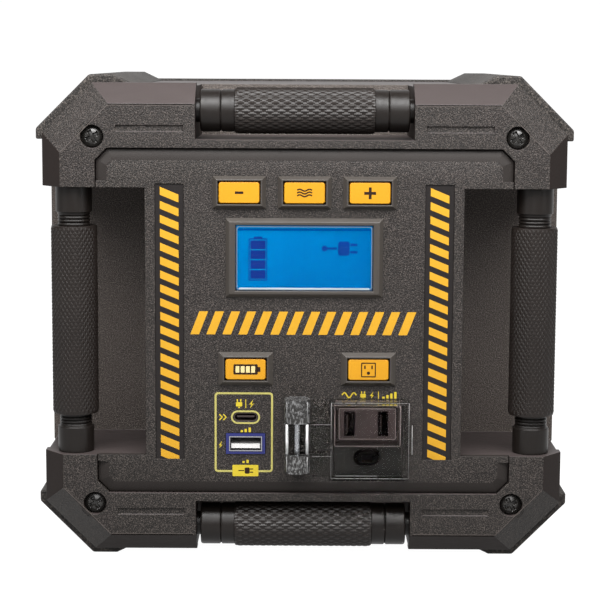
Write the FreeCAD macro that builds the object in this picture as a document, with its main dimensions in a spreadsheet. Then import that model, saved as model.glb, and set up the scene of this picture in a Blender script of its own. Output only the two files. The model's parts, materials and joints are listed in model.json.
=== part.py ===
import FreeCAD, Part
import math
import os
import Sketcher

# A jump starter pack: a cube-like case with four tube grips, a control panel with keys,
# a display, charging ports and a mains outlet under a hinged clear cover, and the battery,
# inverter, fan and air compressor inside.  Millimetres; front towards -Y, +Z up, origin
# on the resting surface below the middle of the case.

doc = FreeCAD.newDocument("jump_starter_pack")

DRIVING_DIMENSIONS = {
    # case shells
    "case_w": 199, "case_h": 180, "case_d": 170,
    "corner_leg": 19, "bevel_w": 7.7, "bevel_d": 9.4, "front_leg": 18.3,
    "frame_d": 14, "body_inset": 1, "parting_d": 60, "wall": 3,
    "ledge_t": 3, "ledge_w": 3, "grip_head_r": 3.4, "grip_head_l": 2, "head_room": 0.3,
    "cheek_proud": 1.8, "cheek_z": 58, "rear_ring_w": 150, "rear_ring_h": 126, "rear_ring_leg": 12,
    "post_r": 4, "screw_x": 79.6, "screw_z": 70, "screw_recess_r": 4.35,
    "screw_head_r": 3.75, "screw_hole_r": 1.6, "screw_recess_d": 3.2,
    "mark_x": 58.2, "mark_z": 73.1, "mark_w": 25.3, "mark_h": 2.3, "mark_d": 0.6,
    # hand recesses
    "well_d": 48, "side_well_x": 60, "side_well_z": 51, "top_well_x": 41, "top_well_z": 69,
    # corner guards
    "guard_proud": 3, "guard_leg": 20.5, "guard_flat": 9.3, "guard_slope": 8.4,
    "guard_return": 4.1, "guard_groove_w": 2.4, "guard_groove_d": 1.2,
    # control panel
    "panel_w": 156.6, "panel_h": 131, "panel_leg": 4.5, "panel_t": 3,
    "band_w": 4.2, "band_d": 1.5, "band_end_z": 53.6, "seat_gap": 0.3,
    "key_x": 24.5, "upper_key_z": 49.4, "lower_key_z": -17.5,
    "surround_w": 20.2, "surround_h": 12.4, "surround_t": 1.9, "surround_rim": 1.1,
    "lower_surround_w": 20.9, "lower_surround_h": 13,
    "key_w": 15.4, "key_h": 8.1, "key_gap": 0.35, "key_proud": 1.6, "key_r": 1.1,
    "key_travel": 0.8, "key_flange": 1.2, "stem_r": 1.6, "stem_d": 8.6,
    "display_z": 24.8, "display_w": 59.4, "display_h": 30.2, "display_t": 1.7,
    "window_w": 51.2, "window_h": 24.2, "window_t": 1.2, "window_sunk": 0.5,
    "stripe_x": 50.8, "inlay_w": 10.8, "inlay_h": 105, "inlay_t": 0.8, "inlay_sunk": 0.4,
    # ports
    "usb_x": -22, "usb_c_z": -36.1, "usb_c_w": 9, "usb_c_h": 3.3,
    "usb_a_z": -46.4, "usb_a_w": 12.6, "usb_a_h": 5.8, "usb_a_rim_w": 15.1, "usb_a_rim_h": 8.1,
    # mains outlet and its cover
    "outlet_x": 24.5, "outlet_w": 26.4, "outlet_top": -30.2, "outlet_low": -59.4,
    "face_w": 25.2, "face_h": 16.2, "face_proud": 3, "face_slope": 1.9, "outlet_proud": 0.2,
    "outlet_d": 13, "blade_pitch": 12.7, "blade_z": -38, "blade_w": 2.6,
    "neutral_h": 9.2, "line_h": 7.4, "ground_z": -51, "ground_w": 10, "ground_h": 6,
    "hinge_x": -2.4, "hinge_proud": 5.1, "knuckle_r": 4.9, "hinge_pin_r": 1,
    "knuckle_top": -28, "knuckle_upper": -37, "knuckle_lower": -49.1, "knuckle_low": -56.2,
    "lid_left": 9.6, "lid_right": 39.6, "lid_top": -28.5, "lid_low": -58.6,
    "lid_proud": 9.6, "lid_t": 1.4, "lid_lift": 0.4, "knuckle_gap": 0.3,
    # grips
    "side_grip_x": 87.6, "top_grip_z": 79.7, "grip_d": 9.2,
    "sleeve_r": 8.8, "side_sleeve_l": 72, "top_sleeve_l": 52.6,
    "core_r": 4.5, "side_ferrule_r": 6.9, "side_neck_r": 6.2, "neck_l": 5.2,
    "top_ferrule_r": 8, "collar_l": 5, "ring_groove_d": 0.5, "ferrule_end": 1.6,
    # battery, boards and inverter
    "cell_r": 16, "cell_l": 66, "cell_pitch": 33, "cell_d": 80, "cell_z": -67,
    "board_t": 1.6, "board_d": 14, "board_w": 108, "board_h": 118, "inverter_d": 50,
    # fan
    "fan_x": 50, "fan_z": 40, "fan_w": 50, "fan_t": 15, "fan_r": 23.2, "hub_r": 10,
    # air compressor
    "gear_module": 0.9, "pinion_teeth": 14, "wheel_teeth": 42, "motor_d": 95, "motor_z": 25,
    "motor_r": 18, "motor_l": 55, "gear_x": -28, "gear_t": 7, "crank_r": 6,
    "crank_pin_r": 2, "piston_r": 10, "cylinder_wall": 3.5, "piston_x": -13, "rod_l": 36,
    # rear fittings
    "gland_proud": 10, "gland_r": 9, "gland_bore_r": 5, "gland_z": -40, "gland_x": 60,
}

# --- the sheet, and lengths that carry their expression --------------------------------


def make_sheet(dimensions):
    sheet = doc.addObject("Spreadsheet::Sheet", "Sizes")
    for row, (alias, value) in enumerate(dimensions.items(), start=1):
        sheet.set(f"A{row}", alias)
        sheet.set(f"B{row}", str(value))
        sheet.setAlias(f"B{row}", alias)
    doc.recompute()
    return sheet


class Size:
    """A length that knows its value and the sheet expression that gives it."""

    def __init__(self, text, value):
        self.text = text
        self.value = value

    def __add__(self, other):
        other = as_size(other)
        return Size(f"({self.text} + {other.text})", self.value + other.value)

    def __sub__(self, other):
        other = as_size(other)
        return Size(f"({self.text} - {other.text})", self.value - other.value)

    def __mul__(self, other):
        other = as_size(other)
        return Size(f"({self.text} * {other.text})", self.value * other.value)

    def __truediv__(self, other):
        other = as_size(other)
        return Size(f"({self.text} / {other.text})", self.value / other.value)

    def __neg__(self):
        return Size(f"(0 - {self.text})", -self.value)

    def __rsub__(self, other):
        return as_size(other) - self

    __radd__ = __add__
    __rmul__ = __mul__


def as_size(number):
    if isinstance(number, Size):
        return number
    return Size(f"{float(number):.4f}", float(number))


class Dimensions:
    """Every driving dimension as a Size, by its alias."""

    def __init__(self, dimensions):
        for alias, value in dimensions.items():
            setattr(self, alias, Size(f"Sizes.{alias}", float(value)))


make_sheet(DRIVING_DIMENSIONS)
S = Dimensions(DRIVING_DIMENSIONS)

MID_Z = S.case_h / 2 + S.guard_proud
FRONT = -S.case_d / 2
REAR = S.case_d / 2


def depth(distance):
    """The Y of a plane that far behind the front face."""
    return FRONT + distance


def level(height):
    """The Z of a plane that far above the middle of the case."""
    return MID_Z + height


# Each key's middle: three above the display, one over the ports and one over the outlet.
KEY_PLACES = {
    "minus_key": (-S.key_x, level(S.upper_key_z)),
    "air_key": (as_size(0), level(S.upper_key_z)),
    "plus_key": (S.key_x, level(S.upper_key_z)),
    "battery_key": (S.usb_x, level(S.lower_key_z)),
    "outlet_key": (S.outlet_x, level(S.lower_key_z)),
}


# --- Part primitives and booleans -------------------------------------------------------


def bind(thing, **sizes):
    for name, size in sizes.items():
        thing.setExpression(name, as_size(size).text)


def place(thing, x, y, z, rotation=None):
    thing.Placement = FreeCAD.Placement(FreeCAD.Vector(0, 0, 0), rotation or FreeCAD.Rotation())
    for name, size in (("x", x), ("y", y), ("z", z)):
        thing.setExpression(f"Placement.Base.{name}", as_size(size).text)


AXIS_TURN = {
    "x": FreeCAD.Rotation(FreeCAD.Vector(0, 1, 0), 90),
    "y": FreeCAD.Rotation(FreeCAD.Vector(1, 0, 0), -90),
    "z": FreeCAD.Rotation(),
}


def box(x0, x1, y0, y1, z0, z1):
    solid = doc.addObject("Part::Box", "box")
    x0, x1, y0, y1, z0, z1 = (as_size(value) for value in (x0, x1, y0, y1, z0, z1))
    bind(solid, Length=x1 - x0, Width=y1 - y0, Height=z1 - z0)
    place(solid, x0, y0, z0)
    return solid


def cylinder(axis, x, y, z, radius, length):
    """A cylinder that starts at a point and runs along +axis."""
    solid = doc.addObject("Part::Cylinder", "cylinder")
    bind(solid, Radius=radius, Height=length)
    place(solid, x, y, z, AXIS_TURN[axis])
    return solid


def cone(axis, x, y, z, radius_a, radius_b, length):
    solid = doc.addObject("Part::Cone", "cone")
    bind(solid, Radius1=radius_a, Radius2=radius_b, Height=length)
    place(solid, x, y, z, AXIS_TURN[axis])
    return solid


def taper(x, z, y0, y1, w0, h0, w1, h1):
    """A rectangular frustum about (x, z), w0 by h0 at y0 and w1 by h1 at y1."""
    solid = doc.addObject("Part::Wedge", "taper")
    y0, y1, w0, h0, w1, h1 = (as_size(value) for value in (y0, y1, w0, h0, w1, h1))
    bind(solid, Ymin=0, Ymax=y1 - y0)
    bind(solid, Xmin=-w0 / 2, Xmax=w0 / 2, Zmin=-h0 / 2, Zmax=h0 / 2)
    bind(solid, X2min=-w1 / 2, X2max=w1 / 2, Z2min=-h1 / 2, Z2max=h1 / 2)
    place(solid, x, y0, z)
    return solid


def fuse(*pieces):
    if len(pieces) == 1:
        return pieces[0]
    solid = doc.addObject("Part::MultiFuse", "fuse")
    solid.Shapes = list(pieces)
    return solid


def cut(base, *tools):
    solid = doc.addObject("Part::Cut", "cut")
    solid.Base = base
    solid.Tool = fuse(*tools)
    return solid


def group(*pieces):
    """Separate solids that share one node."""
    compound = doc.addObject("Part::Compound", "group")
    compound.Links = list(pieces)
    return compound


# --- outlines, sketches and PartDesign bodies -------------------------------------------


def rectangle(x0, x1, z0, z1):
    return [(x0, z0), (x1, z0), (x1, z1), (x0, z1)]


def octagon(width, height, leg, middle=0):
    """A rectangle about the middle with its four corners cut at 45 degrees."""
    a = as_size(width) / 2
    b = as_size(height) / 2
    quarter = [(a, b - leg), (a - leg, b)]
    points = quarter + [(-x, z) for x, z in reversed(quarter)]
    points += [(x, -z) for x, z in reversed(points)]
    return [(x, middle + z) for x, z in points]


# A plane's role and whether its normal runs along (+1) or against (-1) the row axis.
PLANES = {"front": ("XZ_Plane", -1), "top": ("XY_Plane", 1), "side": ("YZ_Plane", 1)}


def draw(sketch, points):
    """A closed outline, each corner held at its own distances from the origin."""
    points = [(as_size(x), as_size(z)) for x, z in points]
    count = len(points)
    corners = [FreeCAD.Vector(x.value, z.value, 0) for x, z in points]
    first = sketch.GeometryCount
    for i in range(count):
        sketch.addGeometry(Part.LineSegment(corners[i], corners[(i + 1) % count]), False)
    for i in range(count):
        here = first + i
        after = first + (i + 1) % count
        sketch.addConstraint(Sketcher.Constraint("Coincident", here, 2, after, 1))
    for i, corner in enumerate(points):
        for kind, size in zip(("DistanceX", "DistanceY"), corner):
            held = sketch.addConstraint(
                Sketcher.Constraint(kind, -1, 1, first + i, 1, size.value))
            sketch.setExpression(f"Constraints[{held}]", size.text)


def new_sketch(body, plane, at, *outlines):
    role, sign = PLANES[plane]
    sketch = body.newObject("Sketcher::SketchObject", "sketch")
    origin_plane = [item for item in body.Origin.OriginFeatures if item.Role == role][0]
    sketch.AttachmentSupport = [(origin_plane, "")]
    sketch.MapMode = "FlatFace"
    sketch.setExpression("AttachmentOffset.Base.z", (as_size(at) * sign).text)
    for points in outlines:
        draw(sketch, points)
    return sketch


def new_body(name):
    return doc.addObject("PartDesign::Body", name)


def solid_volume(body):
    doc.recompute()
    return body.Shape.Volume


def pad(body, plane, low, high, *outlines):
    """Add a prism of the outlines between two levels."""
    sign = PLANES[plane][1]
    sketch = new_sketch(body, plane, low if sign > 0 else high, *outlines)
    feature = body.newObject("PartDesign::Pad", "pad")
    feature.Profile = sketch
    bind(feature, Length=as_size(high) - low)
    return feature


def pocket(body, plane, low, high, *outlines):
    """Cut a prism of the outlines between two levels, and see that it cuts."""
    before = solid_volume(body)
    sign = PLANES[plane][1]
    sketch = new_sketch(body, plane, high if sign > 0 else low, *outlines)
    feature = body.newObject("PartDesign::Pocket", "pocket")
    feature.Profile = sketch
    bind(feature, Length=as_size(high) - low)
    if solid_volume(body) > before - 0.01:
        raise RuntimeError(f"{body.Name}: a pocket cuts nothing")
    return feature


def loft(body, plane, low, low_outline, high, high_outline):
    """Add a straight-sided loft between two outlines."""
    feature = body.newObject("PartDesign::AdditiveLoft", "loft")
    feature.Profile = new_sketch(body, plane, low, low_outline)
    feature.Sections = [new_sketch(body, plane, high, high_outline)]
    feature.Ruled = True
    body.Tip = feature
    return feature


def edges_along(shape, axis):
    names = []
    for number, edge in enumerate(shape.Edges, start=1):
        if isinstance(edge.Curve, Part.Line) and abs(edge.Curve.Direction.dot(axis)) > 0.999:
            names.append(f"Edge{number}")
    return names


def round_edges(body, axis, radius):
    """Round every straight edge that runs along the axis."""
    doc.recompute()
    last = body.Tip
    feature = body.newObject("PartDesign::Fillet", "fillet")
    feature.Base = (last, edges_along(last.Shape, axis))
    bind(feature, Radius=radius)
    return feature


def turned(name, axis, outline):
    """A body turned about the X or Z axis from (along, radius) points."""
    body = new_body(name)
    if axis == "z":
        points = [(radius, along) for along, radius in outline]
    else:
        points = list(outline)
    sketch = new_sketch(body, "front", 0, points)
    feature = body.newObject("PartDesign::Revolution", "revolution")
    feature.Profile = sketch
    feature.ReferenceAxis = (sketch, ["V_Axis" if axis == "z" else "H_Axis"])
    feature.Angle = 360
    return body


# --- naming the finished nodes ----------------------------------------------------------

NODES = {}


def node(name, thing):
    thing.Label = name
    NODES[name] = thing
    return thing


# --- case shells ------------------------------------------------------------------------


def outer_octagon(inset=0):
    inset = as_size(inset)
    return octagon(S.case_w - inset * 2, S.case_h - inset * 2, S.corner_leg, MID_Z)


def face_octagon():
    return octagon(S.case_w - S.bevel_w * 2, S.case_h - S.bevel_w * 2, S.front_leg, MID_Z)


def cheek(body, low, high):
    """A slightly raised flat on each side of the case, behind the hand recesses."""
    reach = S.case_w / 2
    for side in (1, -1):
        outline = [(reach - S.wall, S.cheek_z), (reach, S.cheek_z),
                   (reach + S.cheek_proud, S.cheek_z - S.cheek_proud * 2)]
        outline += [(x, -z) for x, z in reversed(outline)]
        pad(body, "front", low, high, [(x * side, level(z)) for x, z in outline])


def corner_cavities():
    """The hollow corners beside the hand recesses, four closed outlines."""
    inner = S.wall + S.body_inset
    x_in = S.top_well_x + S.wall
    x_out = S.case_w / 2 - inner
    z_in = S.side_well_z + S.wall
    z_out = S.case_h / 2 - inner
    leg = S.corner_leg
    corner = [(x_in, z_in), (x_out, z_in), (x_out, z_out - leg), (x_out - leg, z_out),
              (x_in, z_out)]
    return [[(x * sx, level(z * sz)) for x, z in corner]
            for sx in (1, -1) for sz in (1, -1)]


def side_well(side):
    """A hand recess that is open to the front and to its side."""
    return rectangle(S.side_well_x * side, (S.case_w / 2 + 1) * side,
                     level(-S.side_well_z), level(S.side_well_z))


def top_well(side):
    """A hand recess that is open to the front and to the top or bottom."""
    return rectangle(-S.top_well_x, S.top_well_x,
                     level(S.top_well_z * side), level((S.case_h / 2 + 1) * side))


def screw_places():
    return [(S.screw_x * sx, level(S.screw_z * sz)) for sx in (1, -1) for sz in (1, -1)]


def front_housing():
    body = new_body("front_shell")
    loft(body, "front", FRONT, face_octagon(), depth(S.bevel_d), outer_octagon())
    pad(body, "front", depth(S.bevel_d), depth(S.frame_d), outer_octagon())
    pad(body, "front", depth(S.frame_d), depth(S.parting_d), outer_octagon(S.body_inset))
    cheek(body, depth(S.well_d), depth(S.parting_d))
    inner = S.wall + S.body_inset
    pocket(body, "front", depth(S.well_d + S.wall), depth(S.parting_d), outer_octagon(inner))
    middle = rectangle(-(S.side_well_x - S.wall), S.side_well_x - S.wall,
                       level(-(S.top_well_z - S.wall)), level(S.top_well_z - S.wall))
    pocket(body, "front", depth(S.wall + S.ledge_t), depth(S.well_d + S.wall), middle)
    opening = rectangle(-(S.side_well_x - S.wall), S.side_well_x - S.wall,
                        level(S.ledge_w - S.panel_h / 2), level(S.panel_h / 2 - S.ledge_w))
    pocket(body, "front", depth(S.wall), depth(S.wall + S.ledge_t), opening)
    for corner in corner_cavities():
        pocket(body, "front", depth(S.bevel_d), depth(S.well_d + S.wall), corner)
    for side in (1, -1):
        pocket(body, "front", FRONT, depth(S.well_d), side_well(side))
        pocket(body, "front", FRONT, depth(S.well_d), top_well(side))
        mark_rows(body, side)
    panel_seat(body)
    posts = [cylinder("y", x, depth(S.wall - 1), z, S.post_r, S.parting_d - S.wall + 1)
             for x, z in screw_places()]
    recesses = [cylinder("y", x, FRONT, z, S.screw_recess_r, S.screw_recess_d)
                for x, z in screw_places()]
    pilots = [cylinder("y", x, FRONT, z, S.screw_hole_r, S.parting_d)
              for x, z in screw_places()]
    shoulders = [cylinder("y", x, FRONT + 1, z, S.screw_recess_r + 1.6, S.screw_recess_d + 1)
                 for x, z in screw_places()]
    head_rooms = grip_heads(S.grip_head_r + S.head_room, S.grip_head_l + S.head_room)
    return cut(fuse(body, *posts, *shoulders), *recesses, *pilots, *head_rooms)


def mark_rows(body, side):
    """Shallow slots moulded in the frame beside each screw."""
    for row in (1, -1):
        x = S.mark_x * side
        z = level(S.mark_z * row)
        outline = rectangle(x - S.mark_w / 2, x + S.mark_w / 2, z - S.mark_h / 2,
                            z + S.mark_h / 2)
        pocket(body, "front", FRONT, depth(S.mark_d), outline)


def panel_outline(grow=0):
    """The control panel's outline: wings above and below the side hand recesses."""
    a = S.panel_w / 2 + grow
    b = S.panel_h / 2 + grow
    leg = S.panel_leg
    x_in = S.side_well_x
    z_in = S.side_well_z
    quarter = [(x_in, z_in), (a, z_in), (a, b - leg), (a - leg, b)]
    left = [(-x, z) for x, z in reversed(quarter)]
    upper = quarter + left
    lower = [(x, -z) for x, z in reversed(upper)]
    return [(x, level(z)) for x, z in upper + lower]


def panel_seat(body):
    """The rebate that the control panel lies in, and the window behind it."""
    pocket(body, "front", FRONT, depth(S.panel_t), panel_outline(S.seat_gap))


def control_panel():
    body = new_body("panel_plate")
    pad(body, "front", FRONT, depth(S.panel_t), panel_outline())
    for x, z in KEY_PLACES.values():
        pocket(body, "front", FRONT, depth(S.panel_t),
               rectangle(x - S.key_w / 2 - S.key_gap, x + S.key_w / 2 + S.key_gap,
                         z - S.key_h / 2 - S.key_gap, z + S.key_h / 2 + S.key_gap))
    pocket(body, "front", FRONT, depth(S.panel_t),
           rectangle(-S.window_w / 2, S.window_w / 2, level(S.display_z) - S.window_h / 2,
                     level(S.display_z) + S.window_h / 2))
    pocket(body, "front", FRONT, depth(S.panel_t),
           rectangle(outlet_side(-1), outlet_side(1), level(S.outlet_low), level(S.outlet_top)))
    pocket(body, "front", FRONT, depth(S.panel_t),
           rectangle(S.usb_x - S.usb_a_rim_w / 2, S.usb_x + S.usb_a_rim_w / 2,
                     level(S.usb_a_z) - S.usb_a_rim_h / 2, level(S.usb_a_z) + S.usb_a_rim_h / 2))
    for side in (1, -1):
        x = S.stripe_x * side
        pocket(body, "front", FRONT, depth(S.inlay_t + S.inlay_sunk),
               rectangle(x - S.inlay_w / 2, x + S.inlay_w / 2, MID_Z - S.inlay_h / 2,
                         MID_Z + S.inlay_h / 2))
    usb_c = usb_c_slot(FRONT - 1, S.panel_t + 2, 0)
    return cut(body, band_cutter(1), band_cutter(-1), usb_c)


def usb_c_slot(y, length, grow):
    """An upright-ended slot along Y, the shape of a small reversible charging socket."""
    radius = S.usb_c_h / 2 + grow
    reach = S.usb_c_w / 2 - S.usb_c_h / 2
    z = level(S.usb_c_z)
    ends = [cylinder("y", S.usb_x + reach * side, y, z, radius, length) for side in (1, -1)]
    middle = box(S.usb_x - reach, S.usb_x + reach, y, y + length, z - radius, z + radius)
    return fuse(middle, *ends)


def band_cutter(side):
    """What is cut away to leave the sloping band along the panel's upper or lower rim."""
    body = new_body("band_core")
    outer = octagon(S.panel_w, S.panel_h, S.panel_leg, MID_Z)
    inner_leg = S.panel_leg - S.band_w * (2 - math.sqrt(2))
    inner = octagon(S.panel_w - S.band_w * 2, S.panel_h - S.band_w * 2, inner_leg, MID_Z)
    loft(body, "front", FRONT, inner, depth(S.band_d), outer)
    ends = sorted((level(S.band_end_z * side), level((S.panel_h / 2 + 1) * side)),
                  key=lambda size: size.value)
    half = S.panel_w / 2 + 1
    return cut(box(-half, half, FRONT, depth(S.band_d), ends[0], ends[1]), body)


def grille_slots():
    """Long slots in the rear wall, in front of the fan."""
    slots = []
    for i in range(-3, 4):
        reach = math.sqrt(max(0.0, 21.0 ** 2 - (6.0 * i) ** 2))
        z = level(S.fan_z + 6.0 * i)
        slots.append(box(S.fan_x - reach, S.fan_x + reach, REAR - S.wall - 1, REAR + 1,
                         z - 1.4, z + 1.4))
    return slots


def side_vents():
    """Upright air inlets in the right-hand wall."""
    vents = []
    for i in range(7):
        y = depth(S.parting_d + 26 + i * 8)
        vents.append(box(S.case_w / 2 - 6, S.case_w / 2 + 1, y, y + 3, level(-26), level(26)))
    return vents


def rear_housing():
    body = new_body("rear_shell")
    pad(body, "front", depth(S.parting_d), REAR - S.frame_d, outer_octagon(S.body_inset))
    pad(body, "front", REAR - S.frame_d, REAR - S.bevel_d, outer_octagon())
    loft(body, "front", REAR - S.bevel_d, outer_octagon(), REAR, face_octagon())
    cheek(body, depth(S.parting_d), REAR - S.frame_d)
    inner = S.wall + S.body_inset
    pocket(body, "front", depth(S.parting_d), REAR - S.bevel_d, outer_octagon(inner))
    inner_face = octagon(S.case_w - S.bevel_w * 2 - S.wall * 2,
                         S.case_h - S.bevel_w * 2 - S.wall * 2, S.front_leg, MID_Z)
    pocket(body, "front", REAR - S.bevel_d, REAR - S.wall, inner_face)
    rear_ring(body)
    posts = [cylinder("y", x, depth(S.parting_d), z, S.post_r, S.case_d - S.parting_d - 1)
             for x, z in screw_places()]
    shoulders = [cylinder("y", x, REAR - S.screw_recess_d - 2, z, S.screw_recess_r + 1.6,
                          S.screw_recess_d + 1) for x, z in screw_places()]
    recesses = [cylinder("y", x, REAR - S.screw_recess_d, z, S.screw_recess_r,
                         S.screw_recess_d + 1) for x, z in screw_places()]
    pilots = [cylinder("y", x, depth(S.parting_d), z, S.screw_hole_r, S.case_d)
              for x, z in screw_places()]
    glands = [cylinder("y", x, REAR - S.wall - 1, z, radius, S.wall + 2)
              for x, z, radius in gland_places()]
    return cut(fuse(body, *posts, *shoulders), *recesses, *pilots, *glands, *grille_slots(),
               *side_vents())


def rear_ring(body):
    """A shallow groove round the rear face, and a slot mark beside each rear screw."""
    groove = 2
    outer = octagon(S.rear_ring_w, S.rear_ring_h, S.rear_ring_leg, MID_Z)
    inner = octagon(S.rear_ring_w - groove * 2, S.rear_ring_h - groove * 2,
                    S.rear_ring_leg - groove / 2, MID_Z)
    pocket(body, "front", REAR - S.mark_d * 2, REAR, outer, inner)
    for x_side in (1, -1):
        for z_side in (1, -1):
            x = S.mark_x * x_side
            z = level(S.mark_z * z_side)
            mark = rectangle(x - S.mark_w / 2, x + S.mark_w / 2, z - S.mark_h / 2,
                             z + S.mark_h / 2)
            pocket(body, "front", REAR - S.mark_d, REAR, mark)


def corner_guard(x_side, z_side):
    """A bumper over one corner of the case, grooved across; the lower two are the feet."""
    proud = S.guard_proud
    out_x = S.case_w / 2 + proud
    out_z = S.case_h / 2 + proud
    in_x = S.case_w / 2 - S.body_inset
    in_z = S.case_h / 2 - S.body_inset
    leg = S.corner_leg
    tip_x = out_x - S.guard_leg
    tip_z = out_z - S.guard_leg
    low_z = tip_z - S.guard_return
    slope_x = tip_x - S.guard_flat
    outline = [(out_x, low_z), (out_x, tip_z), (tip_x, out_z), (slope_x, out_z),
               (slope_x - S.guard_slope, in_z), (in_x - leg, in_z), (in_x, in_z - leg),
               (in_x, low_z)]
    body = new_body("guard")
    pad(body, "front", depth(S.frame_d), REAR - S.frame_d,
        [(x * x_side, level(z * z_side)) for x, z in outline])
    grooves = []
    corner = FreeCAD.Vector(x_side, 0, z_side).normalize()
    turn = FreeCAD.Rotation(FreeCAD.Vector(0, 0, 1), corner)
    middle_x = (out_x + tip_x) / 2 * x_side
    middle_z = level((out_z + tip_z) / 2 * z_side)
    for i in range(5):
        y = depth(S.frame_d + 17 + i * 26)
        groove = doc.addObject("Part::Box", "groove")
        length = S.guard_leg * 3
        bind(groove, Length=length, Width=S.guard_groove_w, Height=4)
        along = turn.multVec(FreeCAD.Vector(1, 0, 0))
        place(groove,
              middle_x - length / 2 * along.x - S.guard_groove_d * corner.x,
              y - length / 2 * along.y,
              middle_z - length / 2 * along.z - S.guard_groove_d * corner.z, turn)
        grooves.append(groove)
    return cut(body, *grooves)


def case_screw(x, z, front):
    """A cross-head screw in its recess, head outwards."""
    head_l = 2.2
    shank_l = 46
    if front:
        head_y = depth(S.screw_recess_d) - head_l
        shank_y = depth(S.screw_recess_d) - 0.5
        slot_y = head_y - 1
        slot_l = 2.1
    else:
        head_y = REAR - S.screw_recess_d
        shank_y = head_y - shank_l + 0.5
        slot_y = head_y + head_l - 1.1
        slot_l = 2.1
    head = cylinder("y", x, head_y, z, S.screw_head_r, head_l)
    shank = cylinder("y", x, shank_y, z, S.screw_hole_r - 0.05, shank_l)
    cross = [box(x - 2.3, x + 2.3, slot_y, slot_y + slot_l, z - 0.55, z + 0.55),
             box(x - 0.55, x + 0.55, slot_y, slot_y + slot_l, z - 2.3, z + 2.3)]
    return cut(fuse(head, shank), *cross)


# --- grips ------------------------------------------------------------------------------


def grip_frame(name):
    """A grip's axis, its middle, half its length between walls, and its own sizes."""
    y = depth(S.grip_d)
    if name in ("left", "right"):
        x = S.side_grip_x * (1 if name == "right" else -1)
        return "z", (x, y, MID_Z), S.side_well_z, S.side_sleeve_l, True
    z = level(S.top_grip_z * (1 if name == "top" else -1))
    return "x", (as_size(0), y, z), S.top_well_x, S.top_sleeve_l, False


def set_place(body, middle):
    place(body, *middle)
    return body


def grip_tube(name):
    axis, middle, reach, _, _ = grip_frame(name)
    outline = [(-reach, 0), (reach, 0), (reach, S.core_r), (-reach, S.core_r)]
    return set_place(turned("core", axis, outline), middle)


def grip_sleeve(name):
    axis, middle, _, length, _ = grip_frame(name)
    bore = S.core_r
    half = length / 2
    edge = 0.6
    outline = [(-half, bore), (half, bore), (half, S.sleeve_r - edge),
               (half - edge, S.sleeve_r), (edge - half, S.sleeve_r),
               (-half, S.sleeve_r - edge)]
    return set_place(turned("sleeve", axis, outline), middle)


def side_ferrule_outline(reach, half):
    """Ferrule at the wall, then a neck with three rings, up to the sleeve."""
    bore = S.core_r
    neck_end = half + S.neck_l
    points = [(half, bore), (half, S.side_neck_r)]
    pitch = S.neck_l / 4
    for i in range(1, 4):
        start = half + pitch * i - 0.25
        points += [(start, S.side_neck_r), (start, S.side_neck_r - S.ring_groove_d),
                   (start + 0.5, S.side_neck_r - S.ring_groove_d),
                   (start + 0.5, S.side_neck_r)]
    points += [(neck_end, S.side_neck_r), (neck_end, S.side_ferrule_r),
               (reach, S.side_ferrule_r), (reach, bore)]
    return points


def top_ferrule_outline(reach, half):
    """A collar beside the sleeve, a ring groove, and the ferrule, short of the wall."""
    bore = S.core_r
    end = reach - S.ferrule_end
    collar_end = half + S.collar_l
    dip = S.top_ferrule_r - S.ring_groove_d
    return [(half, bore), (half, S.top_ferrule_r), (collar_end, S.top_ferrule_r),
            (collar_end, dip), (collar_end + 0.6, dip), (collar_end + 0.6, S.top_ferrule_r),
            (end - 0.5, S.top_ferrule_r), (end, S.top_ferrule_r - 0.5), (end, bore)]


def grip_ferrules(name):
    axis, middle, reach, length, is_side = grip_frame(name)
    make_outline = side_ferrule_outline if is_side else top_ferrule_outline
    outline = make_outline(reach, length / 2)
    ends = []
    for side in (1, -1):
        points = [(along * side, radius) for along, radius in outline]
        ends.append(set_place(turned("ferrule", axis, points), middle))
    return group(*ends)


def grip_heads(radius, length):
    """A disc just inside the wall at each end of each grip."""
    heads = []
    for name in ("top", "bottom", "left", "right"):
        axis, (x, y, z), reach, _, _ = grip_frame(name)
        near = reach + S.wall
        for start in (near, -(near + length)):
            if axis == "x":
                heads.append(cylinder("x", start, y, z, radius, length))
            else:
                heads.append(cylinder("z", x, y, z + start, radius, length))
    return heads


def grip_screws():
    """A screw from inside the case into each end of each grip."""
    return group(*grip_heads(S.grip_head_r, S.grip_head_l))


# --- keys and display -------------------------------------------------------------------


def key_surround(x, z):
    """A bevelled rim that stands on the panel round a key; the lower row's are larger."""
    is_lower = z.value < MID_Z.value
    foot_w = S.lower_surround_w if is_lower else S.surround_w
    foot_h = S.lower_surround_h if is_lower else S.surround_h
    inner_w = S.key_w + S.key_gap * 2
    inner_h = S.key_h + S.key_gap * 2
    rim_w = inner_w + S.surround_rim
    rim_h = inner_h + S.surround_rim
    rim = taper(x, z, FRONT - S.surround_t, FRONT, rim_w, rim_h, foot_w, foot_h)
    hole = box(x - inner_w / 2, x + inner_w / 2, FRONT - S.surround_t - 1, FRONT + 1,
               z - inner_h / 2, z + inner_h / 2)
    return cut(rim, hole)


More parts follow.
